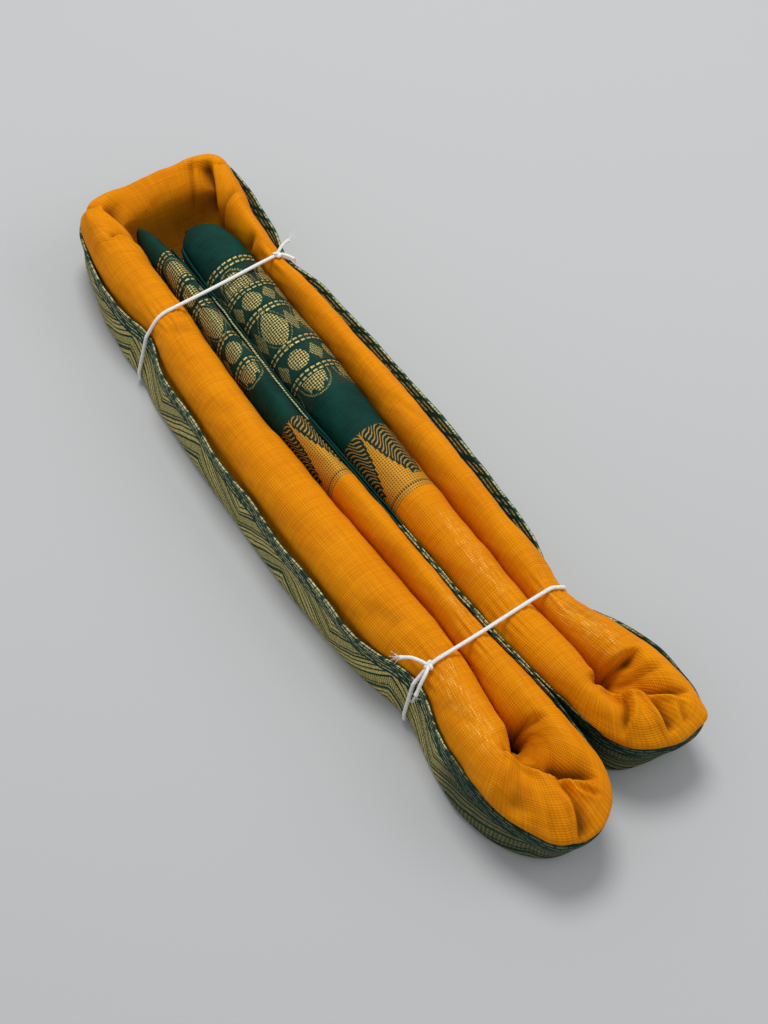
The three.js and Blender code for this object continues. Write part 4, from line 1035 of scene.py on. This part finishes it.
def tie_route(tie):
    """The closed outline of the bundle at a tie, moved out to the twine's middle."""
    y = tie["y"] + np.array([-1.0, 0.0, 1.0])
    turn = np.linspace(0, np.pi, 40)
    corners = []
    for side in ("left", "right"):
        b = run("outer", side, y)
        for i in range(len(y)):
            wall, foot = b["width"][i] + GAP + b["wall"][i], b["raised"][i]
            low = wall + b["out"][i]
            arc_a = b["width"][i] / 2 * (1 + np.cos(turn))
            arc_z = SHOULDER + (b["top"][i] - SHOULDER) * np.sin(turn) + 0.15
            a = np.concatenate([arc_a, [wall, wall, low, low, 0]])
            z = np.concatenate([arc_z, [b["rim"][i] - 0.6, SHOULDER, 5 + foot, foot, foot]])
            corners += list(zip(b["x"][i] + b["dx"][i] * a, z))
    corners = sorted(set((round(float(x), 3), round(float(z), 3)) for x, z in corners))
    cross = lambda o, a, b: (a[0] - o[0]) * (b[1] - o[1]) - (a[1] - o[1]) * (b[0] - o[0])

    def chain(points):
        """One side of the convex outline round the points."""
        kept = []
        for point in points:
            while len(kept) > 1 and cross(kept[-2], kept[-1], point) <= 0:
                kept.pop()
            kept.append(point)
        return kept[:-1]

    hull = np.array(chain(corners) + chain(corners[::-1]))
    line = []
    for i in range(len(hull)):
        before, here, after = hull[i - 1], hull[i], hull[(i + 1) % len(hull)]
        n0 = np.array([(here - before)[1], -(here - before)[0]])
        n1 = np.array([(after - here)[1], -(after - here)[0]])
        n0, n1 = n0 / np.linalg.norm(n0), n1 / np.linalg.norm(n1)
        for t in (0.0, 0.5, 1.0):
            n = n0 * (1 - t) + n1 * t
            line.append(here + n / max(np.linalg.norm(n), 0.3) * (TWINE_RADIUS + TWINE_GAP))
    line = np.array(line)
    line = line[np.linalg.norm(np.roll(line, -1, 0) - line, axis=1) > 0.05]
    loop = np.vstack([line, line[:1]])
    d = lengths(loop)
    at = np.linspace(0, d[-1], int(d[-1] / ROUTE_STEP), endpoint=False)
    route = np.stack([np.interp(at, d, loop[:, k]) for k in (0, 1)], 1)
    wide = ROUTE_EVENED
    wrapped = np.vstack([route[-wide:], route, route[:wide]])
    kernel = np.ones(wide) / wide
    soft = np.stack([np.convolve(wrapped[:, k], kernel, "same") for k in (0, 1)], 1)[wide:-wide]
    soft[:, 1] = np.maximum(soft[:, 1], TWINE_RADIUS + 0.03)
    return soft


def join(parts):
    """Several meshes as one."""
    points, faces_, uv, base = [], [], [], 0
    for p, f, t in parts:
        points.append(p)
        uv.append(t)
        faces_ += [[base + k for k in face] for face in f]
        base += len(p)
    return np.concatenate(points), faces_, np.concatenate(uv)


TAIL_RADIUS, TAIL_SPREAD = 0.85, 0.3  # a tail grows wider by this share at its cut end
FIBRES, FIBRE_RADIUS = 13, 0.17
FIBRE_SPREAD, FIBRE_START = 0.42, 0.35  # how far the fibres turn away, and how far apart they start
FIBRE_LENGTH = 1.4, 2.0  # the shortest, and how much longer they can be
KNOT_RADIUS, KNOT_SIZE, KNOT_LIFT = 0.82, 0.82, 0.7  # of the knot's twine, its size, and how far out it lies


def frayed(path, seed):
    """A tail of twine whose cut end opens into loose fibres."""
    pts = even_path(path, 0.4)
    n = len(pts)
    taper = 1 + TAIL_SPREAD * smooth_step(np.arange(n) / n, 0.8, 1.0)
    parts = [sweep(pts, TAIL_RADIUS, sides=14, lay=3.2, depth=0.2, taper=taper)]
    rng = np.random.RandomState(seed)
    ahead = pts[-1] - pts[-4]
    ahead /= np.linalg.norm(ahead)
    for _ in range(FIBRES):
        side = rng.normal(0, FIBRE_SPREAD, 3)
        start = pts[-2] + rng.normal(0, FIBRE_START, 3)
        reach = FIBRE_LENGTH[0] + FIBRE_LENGTH[1] * rng.rand()
        end = start + (ahead + side) * reach
        mid = start + ahead * reach * 0.5 + side * reach * 0.25
        fibre = even_path([start, mid, end], 0.5)
        thinner = np.linspace(1, 0.4, len(fibre))
        parts.append(sweep(fibre, FIBRE_RADIUS, sides=5, lay=5, strands=1, depth=0, taper=thinner))
    return parts


def knot_at(route, x):
    """A knot's middle on a route, nearest to an x on top of the bundle, and the directions along and away."""
    index = np.where(route[:, 1] > SHOULDER)[0]
    i = int(index[np.argmin(np.abs(route[index, 0] - x))])
    before, after = route[i - 2], route[(i + 2) % len(route)]
    along = (after - before) / np.linalg.norm(after - before)
    away = np.array([along[1], -along[0]])
    return route[i] + away * KNOT_LIFT, along, away


def tie_piece(name, tie, knot_x, tails, seed):
    """A tie: its loop round the bundle, a trefoil for its knot, and its tails, in places from the knot."""
    route = tie_route(tie)
    y = tie["y"] + 0.18 * np.sin(np.arange(len(route)) / 23)
    loop = np.stack([route[:, 0], y, route[:, 1]], 1)
    parts = [sweep(loop, TWINE_RADIUS, sides=16, lay=3.3, closed=True)]
    centre, along, away = knot_at(route, knot_x)
    e1, e2, e3 = np.array([along[0], 0, along[1]]), np.array([0, 1.0, 0]), np.array([away[0], 0, away[1]])
    middle = np.array([centre[0], tie["y"], centre[1]])
    turn = np.linspace(0, TAU, 40, endpoint=False)[:, None]
    trefoil = ((0.95 * np.sin(turn) + 1.15 * np.sin(2 * turn)) * e1
               + (0.95 * np.cos(turn) - 1.15 * np.cos(2 * turn)) * e2 + 0.55 * np.sin(3 * turn) * e3)
    knot = even_path(middle + KNOT_SIZE * trefoil, 0.35, True)
    parts.append(sweep(knot, KNOT_RADIUS, sides=12, lay=3.0, closed=True))
    for k, tail in enumerate(tails):
        parts += frayed([middle] + [middle + np.array(p, float) for p in tail], seed + k)
    obj = make(name + "_twine", *join(parts), "white twine")
    obj.data.materials.append(twine)
    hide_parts(name)


twine = twine_cloth()
tie_piece("tie_far", TIES[0], knot_x=38.3, seed=40, tails=[
    [(3.0, 1.6, 1.4), (5.8, 2.2, 2.4), (8.4, 2.2, 3.0)],
    [(2.6, -2.6, 0.2), (4.2, -4.8, -0.2), (5.4, -7.0, -0.6)]])
tie_piece("tie_near", TIES[1], knot_x=-34.5, seed=50, tails=[
    [(-2.2, 3.6, 1.0), (-4.6, 7.4, 0.8), (-8.0, 10.6, -0.4)],
    [(-3.4, -2.4, -0.2), (-6.8, -3.8, -2.8), (-10.6, -5.2, -8.2)]])

# ---------------------------------------------------------------- floor, light, camera, all in metres
FLOOR_REACH, FLOOR_GREY, FLOOR_ROUGHNESS = 3.0, hue(187, 188, 187), 0.9
SKY, SKY_STRENGTH = (0.93, 0.95, 1.0, 1), 0.52
LIT = (0, 0, 0.02)  # the lights look here
floor_mesh = bpy.data.meshes.new("floor")
corners = [(x * FLOOR_REACH, y * FLOOR_REACH, 0) for x, y in ((-1, -1), (1, -1), (1, 1), (-1, 1))]
floor_mesh.from_pydata(corners, [], [(0, 1, 2, 3)])
floor = bpy.data.objects.new("floor", floor_mesh)
bpy.context.collection.objects.link(floor)
floor_material = bpy.data.materials.new("pale_floor")
floor_material.use_nodes = True
floor_shader = floor_material.node_tree.nodes["Principled BSDF"]
floor_shader.inputs["Base Color"].default_value = (*FLOOR_GREY, 1)
floor_shader.inputs["Roughness"].default_value = FLOOR_ROUGHNESS
floor_mesh.materials.append(floor_material)


def aim(obj, place, direction):
    """Puts a light or camera in its place, looking in a direction."""
    obj.location = place
    obj.rotation_mode = "QUATERNION"
    obj.rotation_quaternion = direction.to_track_quat("-Z", "Y")
    bpy.context.collection.objects.link(obj)


def area_light(name, place, size, power, colour=(1, 1, 1)):
    data = bpy.data.lights.new(name, "AREA")
    data.shape, data.size, data.energy, data.color = "DISK", size, power, colour
    aim(bpy.data.objects.new(name, data), place, Vector(LIT) - Vector(place))


area_light("key", place=(0.3, 0.55, 1.5), size=0.7, power=15.5)
area_light("fill", place=(1.1, -0.7, 1.0), size=1.0, power=4, colour=(0.97, 0.98, 1.0))
world = bpy.data.worlds.new("studio")
world.use_nodes = True
sky = world.node_tree.nodes["Background"].inputs
sky["Color"].default_value, sky["Strength"].default_value = SKY, SKY_STRENGTH
bpy.context.scene.world = world
bpy.context.scene.view_settings.view_transform = "Standard"

AZIMUTH, ELEVATION, DISTANCE, LENS = -34.9, 56.6, 0.8, 60.0
TARGET = Vector((1.4 + ORIGIN[0], -30.0 + ORIGIN[1], 20.0)) * MM
az, el = math.radians(AZIMUTH), math.radians(ELEVATION)
back = Vector((math.sin(az) * math.cos(el), -math.cos(az) * math.cos(el), math.sin(el)))
camera_data = bpy.data.cameras.new("camera")
camera_data.lens, camera_data.sensor_width = LENS, 36.0
camera = bpy.data.objects.new("camera", camera_data)
aim(camera, TARGET + back * DISTANCE, -back)
bpy.context.scene.camera = camera
